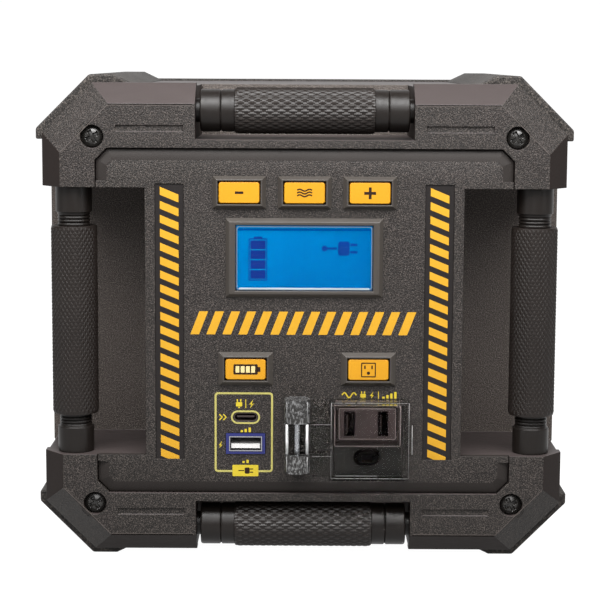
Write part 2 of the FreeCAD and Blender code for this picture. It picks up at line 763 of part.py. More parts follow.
def key(x, z):
    """A key cap with its flange behind the panel and a stem that reaches its switch."""
    body = new_body("key_cap")
    pad(body, "front", FRONT - S.key_proud, depth(S.panel_t),
        rectangle(x - S.key_w / 2, x + S.key_w / 2, z - S.key_h / 2, z + S.key_h / 2))
    round_edges(body, FreeCAD.Vector(0, 1, 0), S.key_r)
    flange_w = S.key_w / 2 + S.key_flange
    flange_h = S.key_h / 2 + S.key_flange
    flange = box(x - flange_w, x + flange_w, depth(S.panel_t + 0.2), depth(S.panel_t + 1.2),
                 z - flange_h, z + flange_h)
    joint = box(x - S.key_w / 2 + 1, x + S.key_w / 2 - 1, depth(S.panel_t - 0.5),
                depth(S.panel_t + 0.7), z - S.key_h / 2 + 1, z + S.key_h / 2 - 1)
    stem = cylinder("y", x, depth(S.panel_t + 1), z, S.stem_r, S.stem_d - S.panel_t - 1)
    return fuse(body, joint, flange, stem)


def key_switches():
    """One switch on the control board behind each key's stem."""
    switches = []
    for x, z in KEY_PLACES.values():
        top = depth(S.stem_d + S.key_travel + 0.4)
        switches.append(fuse(box(x - 3, x + 3, depth(S.board_d - 3), depth(S.board_d),
                                 z - 3, z + 3),
                             cylinder("y", x, top, z, 1.7, depth(S.board_d - 2) - top)))
    return group(*switches)


def display_rim():
    """The bevelled frame round the display window."""
    z = level(S.display_z)
    rim = taper(0, z, FRONT - S.display_t, FRONT, S.display_w - 3, S.display_h - 3,
                S.display_w, S.display_h)
    hole = taper(0, z, FRONT - S.display_t - 0.1, FRONT + 0.1, S.window_w + 0.8,
                 S.window_h + 0.8, S.window_w, S.window_h)
    return cut(rim, hole)


def display_window():
    z = level(S.display_z)
    gap = 0.1
    front = FRONT - S.display_t + S.window_sunk
    return box(-S.window_w / 2 + gap, S.window_w / 2 - gap, front, front + S.window_t,
               z - S.window_h / 2 + gap, z + S.window_h / 2 - gap)


def display_module():
    """The display glass and its backlight box, plugged into the control board."""
    z = level(S.display_z)
    glass = box(-S.window_w / 2 + 0.2, S.window_w / 2 - 0.2, depth(0.4), depth(S.panel_t),
                z - S.window_h / 2 + 0.2, z + S.window_h / 2 - 0.2)
    tray = box(-S.window_w / 2 - 2, S.window_w / 2 + 2, depth(S.panel_t), depth(8),
               z - S.window_h / 2 - 2, z + S.window_h / 2 + 2)
    return fuse(glass, tray)


def hazard_inlay(side):
    """A gloss strip sunk in the panel, which carries the slanted stripes."""
    x = S.stripe_x * side
    return box(x - S.inlay_w / 2 + 0.1, x + S.inlay_w / 2 - 0.1, depth(S.inlay_sunk),
               depth(S.inlay_sunk + S.inlay_t), MID_Z - S.inlay_h / 2 + 0.1,
               MID_Z + S.inlay_h / 2 - 0.1)


# --- charging ports ---------------------------------------------------------------------


def usb_c_port():
    """The small reversible socket: its shell, open at the front, and the tongue inside."""
    z = level(S.usb_c_z)
    shell = cut(usb_c_slot(depth(0.3), S.board_d - 0.3, -0.05),
                usb_c_slot(depth(0), 7, -0.35))
    tongue = box(S.usb_x - 3.3, S.usb_x + 3.3, depth(1.4), depth(7.4), z - 0.35, z + 0.35)
    return fuse(shell, tongue)


def usb_a_insulator():
    """The coloured plastic surround and rear block of the large charging socket."""
    z = level(S.usb_a_z)
    gap = 0.1
    rim = box(S.usb_x - S.usb_a_rim_w / 2 + gap, S.usb_x + S.usb_a_rim_w / 2 - gap,
              depth(-0.3), depth(S.panel_t), z - S.usb_a_rim_h / 2 + gap,
              z + S.usb_a_rim_h / 2 - gap)
    hole = box(S.usb_x - S.usb_a_w / 2, S.usb_x + S.usb_a_w / 2, depth(-1), depth(5),
               z - S.usb_a_h / 2, z + S.usb_a_h / 2)
    return cut(rim, hole)


def usb_a_shell():
    """The pressed steel shell, open at the front."""
    z = level(S.usb_a_z)
    gap = 0.05
    half_w = S.usb_a_w / 2 - gap
    half_h = S.usb_a_h / 2 - gap
    sheet = 0.35
    shell = box(S.usb_x - half_w, S.usb_x + half_w, depth(-0.5), depth(S.board_d),
                z - half_h, z + half_h)
    hollow = box(S.usb_x - half_w + sheet, S.usb_x + half_w - sheet, depth(-1),
                 depth(S.board_d - 1), z - half_h + sheet, z + half_h - sheet)
    return cut(shell, hollow)


def usb_a_tongue():
    """The contact tongue, in the lower part of the socket, on its rear block."""
    z = level(S.usb_a_z)
    tongue = box(S.usb_x - 5.5, S.usb_x + 5.5, depth(0.6), depth(12.5), z - 1.9, z - 0.2)
    block = box(S.usb_x - 5.7, S.usb_x + 5.7, depth(11.5), depth(12.9), z - 2.3, z + 2.3)
    return fuse(tongue, block)


# --- mains outlet and its cover ---------------------------------------------------------


def outlet_side(side):
    return S.outlet_x + S.outlet_w / 2 * side


def blade_places():
    """Each blade slot's X and height: the neutral slot is the taller one."""
    return [(S.outlet_x - S.blade_pitch / 2, S.neutral_h),
            (S.outlet_x + S.blade_pitch / 2, S.line_h)]


def ground_slot(y, length, grow):
    """The round-ended ground opening."""
    z = level(S.ground_z)
    radius = S.ground_h / 2 + grow
    reach = S.ground_w / 2 - S.ground_h / 2
    ends = [cylinder("y", S.outlet_x + reach * side, y, z, radius, length)
            for side in (1, -1)]
    middle = box(S.outlet_x - reach, S.outlet_x + reach, y, y + length, z - radius, z + radius)
    return fuse(middle, *ends)


def outlet_receptacle():
    gap = 0.1
    block = box(outlet_side(-1) + gap, outlet_side(1) - gap, FRONT - S.outlet_proud,
                depth(S.outlet_d), level(S.outlet_low) + gap, level(S.outlet_top) - gap)
    face_z = level(S.outlet_top - S.face_h / 2)
    face = taper(S.outlet_x, face_z, FRONT - S.face_proud, FRONT - S.outlet_proud,
                 S.face_w - S.face_slope * 2, S.face_h - S.face_slope * 2, S.face_w, S.face_h)
    front = FRONT - S.face_proud - 1
    deep = S.face_proud + 1 + S.outlet_d - 1.5
    slots = [box(x - S.blade_w / 2, x + S.blade_w / 2, front, front + deep,
                 level(S.blade_z) - tall / 2, level(S.blade_z) + tall / 2)
             for x, tall in blade_places()]
    return cut(fuse(block, face), *slots, ground_slot(front, deep, 0))


def outlet_contacts():
    """Brass contacts deep in the three openings."""
    contacts = []
    for x, tall in blade_places():
        contacts.append(box(x - S.blade_w / 2 + 0.1, x - 0.8, depth(3), depth(S.outlet_d - 1.7),
                            level(S.blade_z) - tall / 2 + 0.8, level(S.blade_z) + tall / 2 - 0.8))
    z = level(S.ground_z)
    contacts.append(box(S.outlet_x - 2, S.outlet_x + 2, depth(3), depth(S.outlet_d - 1.7),
                        z - S.ground_h / 2 + 0.1, z - S.ground_h / 2 + 0.7))
    return group(*contacts)


def hinge_y():
    return FRONT - S.hinge_proud


def hinge_bracket():
    """The two fixed knuckles of the cover's hinge on their foot plate."""
    pieces = []
    foot_x = (S.hinge_x - 3.2, S.hinge_x + 3.2)
    spans = ((S.knuckle_upper, S.knuckle_top), (S.knuckle_low, S.knuckle_lower))
    for low, high in spans:
        collar = cylinder("z", S.hinge_x, hinge_y(), level(low), S.knuckle_r, high - low)
        foot = box(foot_x[0], foot_x[1], hinge_y(), FRONT, level(low), level(high))
        pieces.append(cut(fuse(collar, foot), pin_bore(low, high)))
    return group(*pieces)


def pin_bore(low, high):
    return cylinder("z", S.hinge_x, hinge_y(), level(low - 1), S.hinge_pin_r + 0.05,
                    high - low + 2)


def hinge_pin():
    return cylinder("z", S.hinge_x, hinge_y(), level(S.knuckle_low), S.hinge_pin_r,
                    S.knuckle_top - S.knuckle_low)


def outlet_cover():
    """The clear lid: a five-sided box over the outlet, its arm and its middle knuckle."""
    back = FRONT - S.lid_lift
    front = FRONT - S.lid_proud
    low = S.knuckle_lower + S.knuckle_gap
    high = S.knuckle_upper - S.knuckle_gap
    lid = box(S.lid_left, S.lid_right, front, back, level(S.lid_low), level(S.lid_top))
    hollow = box(S.lid_left + S.lid_t, S.lid_right - S.lid_t, front + S.lid_t, back + 1,
                 level(S.lid_low) + S.lid_t, level(S.lid_top) - S.lid_t)
    flange = box(S.hinge_x + S.knuckle_r + 0.8, S.lid_left + 0.1, back - S.lid_t, back,
                 level(S.lid_low), level(S.lid_top))
    arm = box(S.hinge_x, S.lid_left + 0.1, hinge_y() - 0.8, hinge_y() + 0.8, level(low),
              level(high))
    web = box(S.hinge_x + S.knuckle_r + 0.8, S.lid_left + 0.1, hinge_y(), back, level(low),
              level(low) + 1.2)
    knuckle = cylinder("z", S.hinge_x, hinge_y(), level(low), S.knuckle_r, high - low)
    lip = box(S.lid_right - 0.1, S.lid_right + 1.6, front, front + 2.4, level(-49), level(-37))
    shell = cut(lid, hollow)
    return cut(fuse(shell, flange, arm, web, knuckle, lip), pin_bore(low, high))


# --- boards, battery and inverter -------------------------------------------------------


def control_board():
    board = box(-S.board_w / 2, S.board_w / 2, depth(S.board_d), depth(S.board_d + S.board_t),
                MID_Z - S.board_h / 2, MID_Z + S.board_h / 2)
    holes = [cylinder("y", x * (S.board_w / 2 - 5), depth(S.board_d - 1),
                      level(z * (S.board_h / 2 - 5)), 1.6, 4)
             for x in (1, -1) for z in (1, -1)]
    return cut(board, *holes)


def cell_places():
    return [(S.cell_pitch * (i - 1.5), level(S.cell_z + S.cell_pitch * j))
            for i in range(4) for j in range(2)]


def battery_cells():
    """Eight cylindrical cells, each with a raised positive end."""
    cells = []
    for x, z in cell_places():
        can = cylinder("y", x, depth(S.cell_d), z, S.cell_r, S.cell_l)
        tip = cylinder("y", x, depth(S.cell_d) - 1, z, 4.5, 2)
        cells.append(fuse(can, tip))
    return group(*cells)


def battery_holders():
    """Two plates with a round seat for each cell's end."""
    plates = []
    half_w = S.cell_pitch * 2
    z0 = level(S.cell_z - S.cell_pitch / 2)
    z1 = z0 + S.cell_pitch * 2
    for start in (depth(S.cell_d + 1.5), depth(S.cell_d + S.cell_l - 7.5)):
        plate = box(-half_w, half_w, start, start + 6, z0, z1)
        seats = [cylinder("y", x, start - 1, z, S.cell_r + 0.1, 8) for x, z in cell_places()]
        plates.append(cut(plate, *seats))
    return group(*plates)


def battery_busbars():
    """Nickel straps that join the cells in pairs, front and back."""
    straps = []
    z = level(S.cell_z + S.cell_pitch / 2)
    for i in range(4):
        x = S.cell_pitch * (i - 1.5)
        for y in (depth(S.cell_d) - 1.5, depth(S.cell_d + S.cell_l)):
            straps.append(box(x - 4, x + 4, y, y + 0.5, z - 24, z + 24))
    return group(*straps)


def inverter_board():
    return box(-50, 50, depth(S.inverter_d), depth(S.inverter_d + S.board_t), level(-48),
               level(52))


def inverter_transformer():
    """A laminated core with its winding, on the inverter board."""
    back = S.inverter_d
    core = box(-40, -2, depth(back - 24), depth(back), level(8), level(42))
    windows = [box(-34, -27, depth(back - 25), depth(back + 1), level(14), level(36)),
               box(-15, -8, depth(back - 25), depth(back + 1), level(14), level(36))]
    winding = box(-30, -12, depth(back - 30), depth(back), level(15), level(35))
    return fuse(cut(core, *windows), winding)


def inverter_heatsink():
    """A finned extrusion behind the power transistors."""
    back = S.inverter_d
    base = box(6, 46, depth(back - 5), depth(back), level(-40), level(40))
    fins = [box(7 + i * 5.4, 9 + i * 5.4, depth(back - 24), depth(back - 4), level(-40),
                level(40)) for i in range(7)]
    return fuse(base, *fins)


def inverter_capacitors():
    return group(*[cylinder("y", -34 + i * 15, depth(S.inverter_d - 22), level(-22), 6, 22)
                   for i in range(3)])


# --- cooling fan ------------------------------------------------------------------------


def fan_front():
    return REAR - S.wall - S.fan_t - 0.5


def fan_frame():
    """A square fan frame: its round duct, the motor seat and three struts."""
    half = S.fan_w / 2
    y0 = fan_front()
    z = level(S.fan_z)
    block = box(S.fan_x - half, S.fan_x + half, y0, y0 + S.fan_t, z - half, z + half)
    duct = cylinder("y", S.fan_x, y0 - 1, z, S.fan_r + 0.8, S.fan_t + 2)
    frame = cut(block, duct)
    seat = cylinder("y", S.fan_x, y0 + S.fan_t - 2, z, S.hub_r, 2)
    struts = []
    for i in range(3):
        strut = doc.addObject("Part::Box", "strut")
        bind(strut, Length=S.fan_r + 1.2, Width=2, Height=3)
        turn = FreeCAD.Rotation(FreeCAD.Vector(0, 1, 0), 90 + 120 * i)
        place(strut, S.fan_x, y0 + S.fan_t - 2, z, turn)
        struts.append(strut)
    return fuse(frame, seat, *struts)


def fan_rotor():
    """The fan's hub with seven pitched blades."""
    y0 = fan_front() + 0.8
    z = level(S.fan_z)
    length = 10.5
    hub = cylinder("y", S.fan_x, y0, z, S.hub_r, length)
    blades = []
    for i in range(7):
        blade = doc.addObject("Part::Box", "blade")
        bind(blade, Length=S.fan_r - 0.2 - S.hub_r + 2, Width=1.2, Height=11)
        turn = (FreeCAD.Rotation(FreeCAD.Vector(0, 1, 0), 360 / 7 * i)
                * FreeCAD.Rotation(FreeCAD.Vector(1, 0, 0), -52))
        root = turn.multVec(FreeCAD.Vector(1, 0, 0))
        centre = turn.multVec(FreeCAD.Vector(0, 0.6, 5.5))
        place(blade, S.fan_x + (S.hub_r - 2) * root.x - centre.x,
              y0 + length / 2 - centre.y,
              z + (S.hub_r - 2) * root.z - centre.z, turn)
        blades.append(blade)
    return fuse(hub, *blades)


# --- air compressor ---------------------------------------------------------------------


def gear_face(teeth, turn):
    """An involute gear's outline as a face in the YZ plane, one tooth at the turn angle."""
    pressure = math.radians(20)
    module = S.gear_module.value
    pitch = module * teeth / 2
    base = pitch * math.cos(pressure)
    tip = pitch + 0.8 * module
    root = pitch - 1.15 * module
    backlash = 0.05
    half_tooth = math.pi / (2 * teeth) - backlash / pitch
    spread = math.tan(pressure) - pressure

    def flank(radius):
        roll = math.sqrt(max(0.0, (radius / base) ** 2 - 1))
        return half_tooth + spread - (roll - math.atan(roll))

    start = max(root, base)
    radii = [start + (tip - start) * i / 4 for i in range(5)]
    side = [(root, flank(start))] + [(radius, flank(radius)) for radius in radii]
    points = []
    for tooth in range(teeth):
        middle = turn + 2 * math.pi * tooth / teeth
        points += [(radius, middle - angle) for radius, angle in side]
        points += [(radius, middle + angle) for radius, angle in reversed(side)]
    corners = [FreeCAD.Vector(0, radius * math.cos(angle), radius * math.sin(angle))
               for radius, angle in points]
    return Part.Face(Part.makePolygon(corners + corners[:1]))


def gear_blank(name, teeth, turn):
    feature = doc.addObject("Part::Feature", name)
    feature.Shape = gear_face(teeth, turn).extrude(FreeCAD.Vector(S.gear_t.value, 0, 0))
    return feature


def wheel_y():
    """The drive wheel's axis, one centre distance behind the motor's."""
    return depth(S.motor_d + S.gear_module * (S.pinion_teeth + S.wheel_teeth) / 2)


def motor_pinion():
    """The pinion on the motor's shaft, a tooth facing the drive wheel."""
    blank = gear_blank("pinion_teeth", int(S.pinion_teeth.value), 0.0)
    place(blank, S.gear_x, depth(S.motor_d), level(S.motor_z))
    shaft = cylinder("x", S.gear_x - 4.5, depth(S.motor_d), level(S.motor_z), 1.5,
                     S.gear_t + 4.5)
    return fuse(blank, shaft)


def compressor_gear():
    """The drive wheel, a gap facing the pinion, with its crank pin at the bottom."""
    teeth = int(S.wheel_teeth.value)
    blank = gear_blank("wheel_teeth_blank", teeth, math.pi + math.pi / teeth)
    place(blank, S.gear_x, wheel_y(), level(S.motor_z))
    bore = cylinder("x", S.gear_x - 1, wheel_y(), level(S.motor_z), 2.55, S.gear_t - 0.5)
    holes = [cylinder("x", S.gear_x - 1, wheel_y() + 12 * math.cos(math.radians(60 * i)),
                      level(S.motor_z) + 12 * math.sin(math.radians(60 * i)), 3,
                      S.gear_t + 2) for i in range(6)]
    crank = cylinder("x", S.gear_x + S.gear_t - 0.5, wheel_y(),
                     level(S.motor_z) - S.crank_r, S.crank_pin_r, 5)
    return fuse(cut(blank, bore, *holes), crank)


def compressor_motor():
    """The motor's can with its rear bearing boss."""
    end = S.gear_x - 5
    y = depth(S.motor_d)
    z = level(S.motor_z)
    can = cylinder("x", end - S.motor_l, y, z, S.motor_r, S.motor_l)
    boss = cylinder("x", end - S.motor_l - 3, y, z, 5, 4)
    return fuse(can, boss)


def compressor_frame():
    """The plate that carries motor, drive wheel and cylinder, screwed to the rear wall."""
    x0 = S.gear_x - 5
    x1 = S.gear_x - 2
    z = level(S.motor_z)
    plate = box(x0, x1, depth(S.motor_d - 20), REAR - S.wall, z - 20, z + 26)
    foot = box(x0, x1 + 12, REAR - S.wall - 3, REAR - S.wall, z - 20, z + 20)
    shelf = box(x0, S.piston_x + 14, wheel_y() - 14, wheel_y() + 14, z + 22, z + 26)
    axle = cylinder("x", x1 - 1, wheel_y(), z, 2.5, S.gear_t)
    shaft_hole = cylinder("x", x0 - 1, depth(S.motor_d), z, 3, 5)
    rod_hole = cylinder("z", S.piston_x, wheel_y(), z + 21, 6, 6)
    return fuse(cut(fuse(plate, foot, shelf), shaft_hole, rod_hole), axle)


def piston_low():
    """The piston's underside at the bottom of its stroke."""
    return level(S.motor_z - S.crank_r + S.rod_l - 3)


def compressor_piston():
    """The piston and its rod; the rod's eye stops just short of the crank pin's end."""
    y = wheel_y()
    eye_z = level(S.motor_z) - S.crank_r
    crown = cylinder("z", S.piston_x, y, piston_low(), S.piston_r - 0.06, 6)
    eye = cylinder("x", S.piston_x - 2, y, eye_z, 4, 4)
    rod = box(S.piston_x - 2, S.piston_x + 2, y - 2.5, y + 2.5, eye_z + 3, piston_low() + 1)
    hole = cylinder("x", S.piston_x - 3, y, eye_z, S.crank_pin_r + 0.05, 6)
    return cut(fuse(crown, eye, rod), hole)


def compressor_cylinder():
    """The cylinder with cooling fins and its closed head with the air outlet."""
    y = wheel_y()
    base = level(S.motor_z) + 26
    tall = S.crank_r * 2 + 11
    outer = S.piston_r + S.cylinder_wall
    tube = cylinder("z", S.piston_x, y, base, outer, tall + 4)
    fins = [cylinder("z", S.piston_x, y, base + 3 + i * 4, outer + 2, 1.4) for i in range(5)]
    outlet = cylinder("x", S.piston_x, y, base + tall + 1, 2.4, outer + 6)
    bore = cylinder("z", S.piston_x, y, base - 1, S.piston_r, tall + 1)
    return cut(fuse(tube, outlet, *fins), bore)


# --- rear fittings ----------------------------------------------------------------------


def gland_places():
    """Rear openings: two battery leads low on the left, the air hose above them."""
    low = level(S.gland_z)
    return [(-S.gland_x, low, S.gland_r - 2), (-S.gland_x + 26, low, S.gland_r - 2),
            (-S.gland_x, level(45), S.gland_r - 2)]


def gland(x, z, bore):
    """A strain-relief gland: flange outside, tapered nose, and a bore for its lead."""
    flange = cylinder("y", x, REAR, z, S.gland_r, 3)
    neck = cylinder("y", x, REAR - S.wall - 3, z, S.gland_r - 2.05, S.wall + 4)
    nose = cone("y", x, REAR + 3, z, S.gland_r - 1, bore + 1.4, S.gland_proud - 3)
    hole = cylinder("y", x, REAR - S.wall - 4, z, bore, S.gland_proud + S.wall + 6)
    return cut(fuse(flange, neck, nose), hole)


# --- the whole assembly -----------------------------------------------------------------


def build():
    node("front_housing", front_housing())
    node("rear_housing", rear_housing())
    node("control_panel", control_panel())
    for z_name, z_side in (("top", 1), ("bottom", -1)):
        for x_name, x_side in (("left", -1), ("right", 1)):
            node(f"corner_guard_{z_name}_{x_name}", corner_guard(x_side, z_side))
    node("front_case_screws", group(*[case_screw(x, z, True) for x, z in screw_places()]))
    node("rear_case_screws", group(*[case_screw(x, z, False) for x, z in screw_places()]))
    for name in ("top", "bottom", "left", "right"):
        node(f"grip_tube_{name}", grip_tube(name))
        node(f"grip_sleeve_{name}", grip_sleeve(name))
        node(f"grip_ferrules_{name}", grip_ferrules(name))
    node("grip_screws", grip_screws())
    node("key_surrounds", group(*[key_surround(x, z) for x, z in KEY_PLACES.values()]))
    for name, (x, z) in KEY_PLACES.items():
        node(name, key(x, z))
    node("key_switches", key_switches())
    node("display_rim", display_rim())
    node("display_window", display_window())
    node("display_module", display_module())
    node("hazard_inlays", group(hazard_inlay(-1), hazard_inlay(1)))
    node("usb_c_port", usb_c_port())
    node("usb_a_insulator", usb_a_insulator())
    node("usb_a_shell", usb_a_shell())
    node("usb_a_tongue", usb_a_tongue())
    node("outlet_receptacle", outlet_receptacle())
    node("outlet_contacts", outlet_contacts())
    node("cover_hinge_bracket", hinge_bracket())
    node("cover_hinge_pin", hinge_pin())
    node("outlet_cover", outlet_cover())
    node("control_board", control_board())
    node("battery_cells", battery_cells())
    node("battery_holders", battery_holders())
    node("battery_busbars", battery_busbars())
    node("inverter_board", inverter_board())
    node("inverter_transformer", inverter_transformer())
    node("inverter_heatsink", inverter_heatsink())
    node("inverter_capacitors", inverter_capacitors())
    node("fan_frame", fan_frame())
    node("fan_rotor", fan_rotor())
    node("compressor_motor", compressor_motor())
    node("compressor_frame", compressor_frame())
    node("motor_pinion", motor_pinion())
    node("compressor_gear", compressor_gear())
    node("compressor_piston", compressor_piston())
    node("compressor_cylinder", compressor_cylinder())
    leads = gland_places()
    node("lead_glands", group(*[gland(x, z, S.gland_bore_r) for x, z, _ in leads[:2]]))
    node("hose_gland", gland(leads[2][0], leads[2][1], S.gland_bore_r - 1))


def check_and_write():
    doc.recompute()
    for thing in doc.Objects:
        faults = [state for state in thing.State if state in ("Invalid", "Error")]
        if faults:
            raise RuntimeError(f"{thing.Name} ({thing.Label}) is {faults}")
    for name, thing in NODES.items():
        if thing.Shape.isNull() or not thing.Shape.isValid():
            raise RuntimeError(f"{name} has no valid shape")
    os.makedirs("parts", exist_ok=True)
    for name, thing in NODES.items():
        thing.Shape.exportStep(f"parts/{name}.step")
    print(len(NODES), "nodes written")


build()
check_and_write()
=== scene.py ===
import json
import math

import bmesh
import bpy
from mathutils import Matrix, Vector


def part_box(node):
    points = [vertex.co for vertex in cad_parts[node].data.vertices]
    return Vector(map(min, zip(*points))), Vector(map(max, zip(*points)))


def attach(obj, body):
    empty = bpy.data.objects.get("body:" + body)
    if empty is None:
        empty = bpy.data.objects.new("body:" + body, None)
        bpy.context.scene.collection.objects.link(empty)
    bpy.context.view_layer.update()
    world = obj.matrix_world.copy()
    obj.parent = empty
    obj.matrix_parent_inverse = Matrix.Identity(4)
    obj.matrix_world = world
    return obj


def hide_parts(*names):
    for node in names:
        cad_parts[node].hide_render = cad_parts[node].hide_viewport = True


# The looks of a jump starter pack: its moulded case, knurled grips, keys, display, printed
# panel, charging sockets and the mains outlet under its clear cover.  Lengths are metres;
# MM turns a maker's millimetres into them.  X runs right, the front faces -Y, Z is up.

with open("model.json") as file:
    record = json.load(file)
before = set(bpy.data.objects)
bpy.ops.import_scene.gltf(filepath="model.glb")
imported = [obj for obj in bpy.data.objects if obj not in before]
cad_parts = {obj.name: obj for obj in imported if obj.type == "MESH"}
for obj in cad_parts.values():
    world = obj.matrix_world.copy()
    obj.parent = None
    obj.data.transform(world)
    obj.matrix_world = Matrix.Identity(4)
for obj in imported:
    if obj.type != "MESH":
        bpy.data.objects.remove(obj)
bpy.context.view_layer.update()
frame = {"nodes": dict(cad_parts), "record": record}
NODES = frame["nodes"]
MM = 0.001
CASE = "case"

PANEL_LOW, PANEL_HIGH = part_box("control_panel")
PANEL_Y = PANEL_LOW.y
MID_Z = (PANEL_LOW.z + PANEL_HIGH.z) / 2


def middle(node):
    low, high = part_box(node)
    return (low + high) / 2


def span(node):
    low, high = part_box(node)
    return high - low


def scaled(colour, share):
    return tuple(channel * share for channel in colour)


# --- finishes: a node tree built a step at a time ---


class Finish:
    """A material whose detail is worked out from the piece's own Object coordinates."""

    def __init__(self, name, colour, roughness, **sockets):
        self.material = bpy.data.materials.new(name)
        self.material.use_nodes = True
        self.tree = self.material.node_tree
        self.shader = self.tree.nodes["Principled BSDF"]
        self.shader.inputs["Base Color"].default_value = (*colour, 1)
        self.shader.inputs["Roughness"].default_value = roughness
        for label, value in sockets.items():
            self.shader.inputs[label.replace("_", " ")].default_value = value
        self.place = self.add("ShaderNodeTexCoord").outputs["Object"]

    def add(self, kind, inputs=None, **settings):
        node = self.tree.nodes.new(kind)
        for label, value in settings.items():
            setattr(node, label, value)
        for key, value in (inputs or {}).items():
            self.feed(node.inputs[key], value)
        return node

    def feed(self, socket, value):
        if isinstance(value, bpy.types.NodeSocket):
            self.tree.links.new(value, socket)
        else:
            socket.default_value = value

    def noise(self, scale, detail=2.0, roughness=0.5, place=None):
        node = self.add("ShaderNodeTexNoise", {"Vector": place or self.place, "Scale": scale,
                                               "Detail": detail, "Roughness": roughness})
        return node.outputs["Fac"]

    def cells(self, scale, smooth):
        node = self.add("ShaderNodeTexVoronoi", {"Vector": self.place, "Scale": scale},
                        feature="SMOOTH_F1")
        node.inputs["Smoothness"].default_value = smooth
        return node.outputs["Distance"]

    def stretched(self, x, y, z):
        node = self.add("ShaderNodeMapping", {"Vector": self.place, "Scale": (x, y, z)})
        return node.outputs["Vector"]

    def math(self, operation, a, b=0.0):
        return self.add("ShaderNodeMath", {0: a, 1: b}, operation=operation).outputs[0]

    def fit(self, value, low, high, to_low=0.0, to_high=1.0):
        node = self.add("ShaderNodeMapRange", {"Value": value, "From Min": low,
                                               "From Max": high, "To Min": to_low,
                                               "To Max": to_high})
        return node.outputs["Result"]

    def blend(self, share, a, b):
        node = self.add("ShaderNodeMix", data_type="RGBA", blend_type="MIX")
        self.feed(node.inputs[0], share)
        for socket, colour in ((node.inputs[6], a), (node.inputs[7], b)):
            self.feed(socket, (*colour, 1) if isinstance(colour, tuple) else colour)
        return node.outputs[2]

    def colour(self, value):
        self.feed(self.shader.inputs["Base Color"], value)

    def roughness(self, value):
        self.feed(self.shader.inputs["Roughness"], value)

    def bump(self, height, strength, distance):
        last = self.shader.inputs["Normal"]
        before = last.links[0].from_socket if last.links else None
        node = self.add("ShaderNodeBump", {"Height": height, "Strength": strength,
                                           "Distance": distance})
        if before:
            self.tree.links.new(before, node.inputs["Normal"])
        self.tree.links.new(node.outputs["Normal"], last)


def grained(name, colour, light, grain=2350.0, depth=0.14, roughness=0.5, painted_glint_share=0.75):
    """Moulded plastic with a spark-eroded grain: pits, painted shade in its dips and painted
    glints, pale flecks, on its raised points.
    """
    finish = Finish(name, colour, roughness, Specular_IOR_Level=0.17)
    pits = finish.cells(grain, 0.5)
    fine = finish.noise(grain, 2.0, 0.7)
    height = finish.math("ADD", finish.math("MULTIPLY", pits, 0.9), fine)
    finish.bump(height, 1.0, depth * MM)
    # painted glints: pale flecks where the grain stands highest
    peak_painted_glints = finish.fit(fine, 0.52, 0.66, 0.0, painted_glint_share)
    broad = finish.noise(14.0, 3.0, 0.55)
    body = finish.blend(finish.fit(broad, 0.3, 0.7), colour, scaled(colour, 1.15))
    # painted shade: the colour darkens where the grain dips
    hollow_painted_shade = finish.blend(finish.fit(fine, 0.36, 0.49, 0.8, 0.0), body, scaled(colour, 0.2))
    finish.colour(finish.blend(peak_painted_glints, hollow_painted_shade, light))
    finish.roughness(finish.fit(broad, 0.2, 0.8, roughness - 0.06, roughness + 0.08))
    return finish.material


def smooth_plastic(name, colour, roughness=0.4, mottle=1.1, shine=0.22):
    """The same plastic where the mould was polished: faint waves and fine scratches."""
    finish = Finish(name, colour, roughness, Specular_IOR_Level=shine)
    waves = finish.noise(60.0, 3.0, 0.5)
    scratches = finish.noise(260.0, 4.0, 0.7, finish.stretched(1.0, 6.0, 5.0))
    finish.bump(waves, 0.25, 0.1 * MM)
    finish.bump(scratches, 0.35, 0.02 * MM)
    shade = finish.fit(waves, 0.3, 0.7)
    finish.colour(finish.blend(shade, colour, scaled(colour, mottle)))
    finish.roughness(finish.fit(scratches, 0.3, 0.8, roughness - 0.05, roughness + 0.1))
    return finish.material


def rubber(name, colour, roughness):
    """Soft dull rubber with a little dust."""
    finish = Finish(name, colour, roughness)
    fine = finish.noise(1500.0, 2.0, 0.6)
    dust = finish.noise(35.0, 4.0, 0.6)
    finish.bump(fine, 0.7, 0.06 * MM)
    finish.colour(finish.blend(finish.fit(dust, 0.4, 0.75, 0.0, 0.5), colour,
                               tuple(channel * 1.5 + 0.01 for channel in colour)))
    finish.roughness(finish.fit(dust, 0.3, 0.7, roughness - 0.05, roughness + 0.12))
    return finish.material


def metal(name, colour, roughness, metallic=1.0, shine=0.5):
    """Turned or pressed metal, bare or coated, with fine tool marks and a faint stain; also
    the metal painted glints on the display window's edge.
    """
    finish = Finish(name, colour, roughness, Metallic=metallic, Specular_IOR_Level=shine)
    marks = finish.noise(900.0, 3.0, 0.6, finish.stretched(1.0, 1.0, 0.25))
    stain = finish.noise(45.0, 3.0, 0.5)
    finish.bump(marks, 0.6, 0.01 * MM)
    finish.colour(finish.blend(finish.fit(stain, 0.3, 0.7), colour, scaled(colour, 0.82)))
    finish.roughness(finish.fit(marks, 0.3, 0.7, roughness - 0.06, roughness + 0.08))
    return finish.material


def ink(name, colour, roughness=0.6, shine=0.1):
    """Screen-printed ink, also laid on as painted shade and painted highlight lines: slightly
    uneven where it was laid on the grain.
    """
    finish = Finish(name, colour, roughness, Specular_IOR_Level=shine)
    tooth = finish.noise(1600.0, 2.0, 0.6)
    patch = finish.noise(220.0, 3.0, 0.6)
    finish.bump(tooth, 0.5, 0.03 * MM)
    uneven = finish.fit(patch, 0.35, 0.75, 0.0, 0.45)
    finish.colour(finish.blend(uneven, colour, scaled(colour, 0.84)))
    finish.roughness(finish.fit(tooth, 0.3, 0.7, roughness - 0.05, roughness + 0.08))
    return finish.material


def clear_plastic(name, tint, roughness, ior):
    """Water-clear moulding with the faintest waves."""
    finish = Finish(name, tint, roughness, IOR=ior, Transmission_Weight=1.0)
    waves = finish.noise(160.0, 2.0, 0.5)
    finish.bump(waves, 0.2, 0.05 * MM)
    finish.roughness(finish.fit(finish.noise(600.0, 3.0, 0.6), 0.45, 0.8, roughness,
                                roughness + 0.06))
    return finish.material


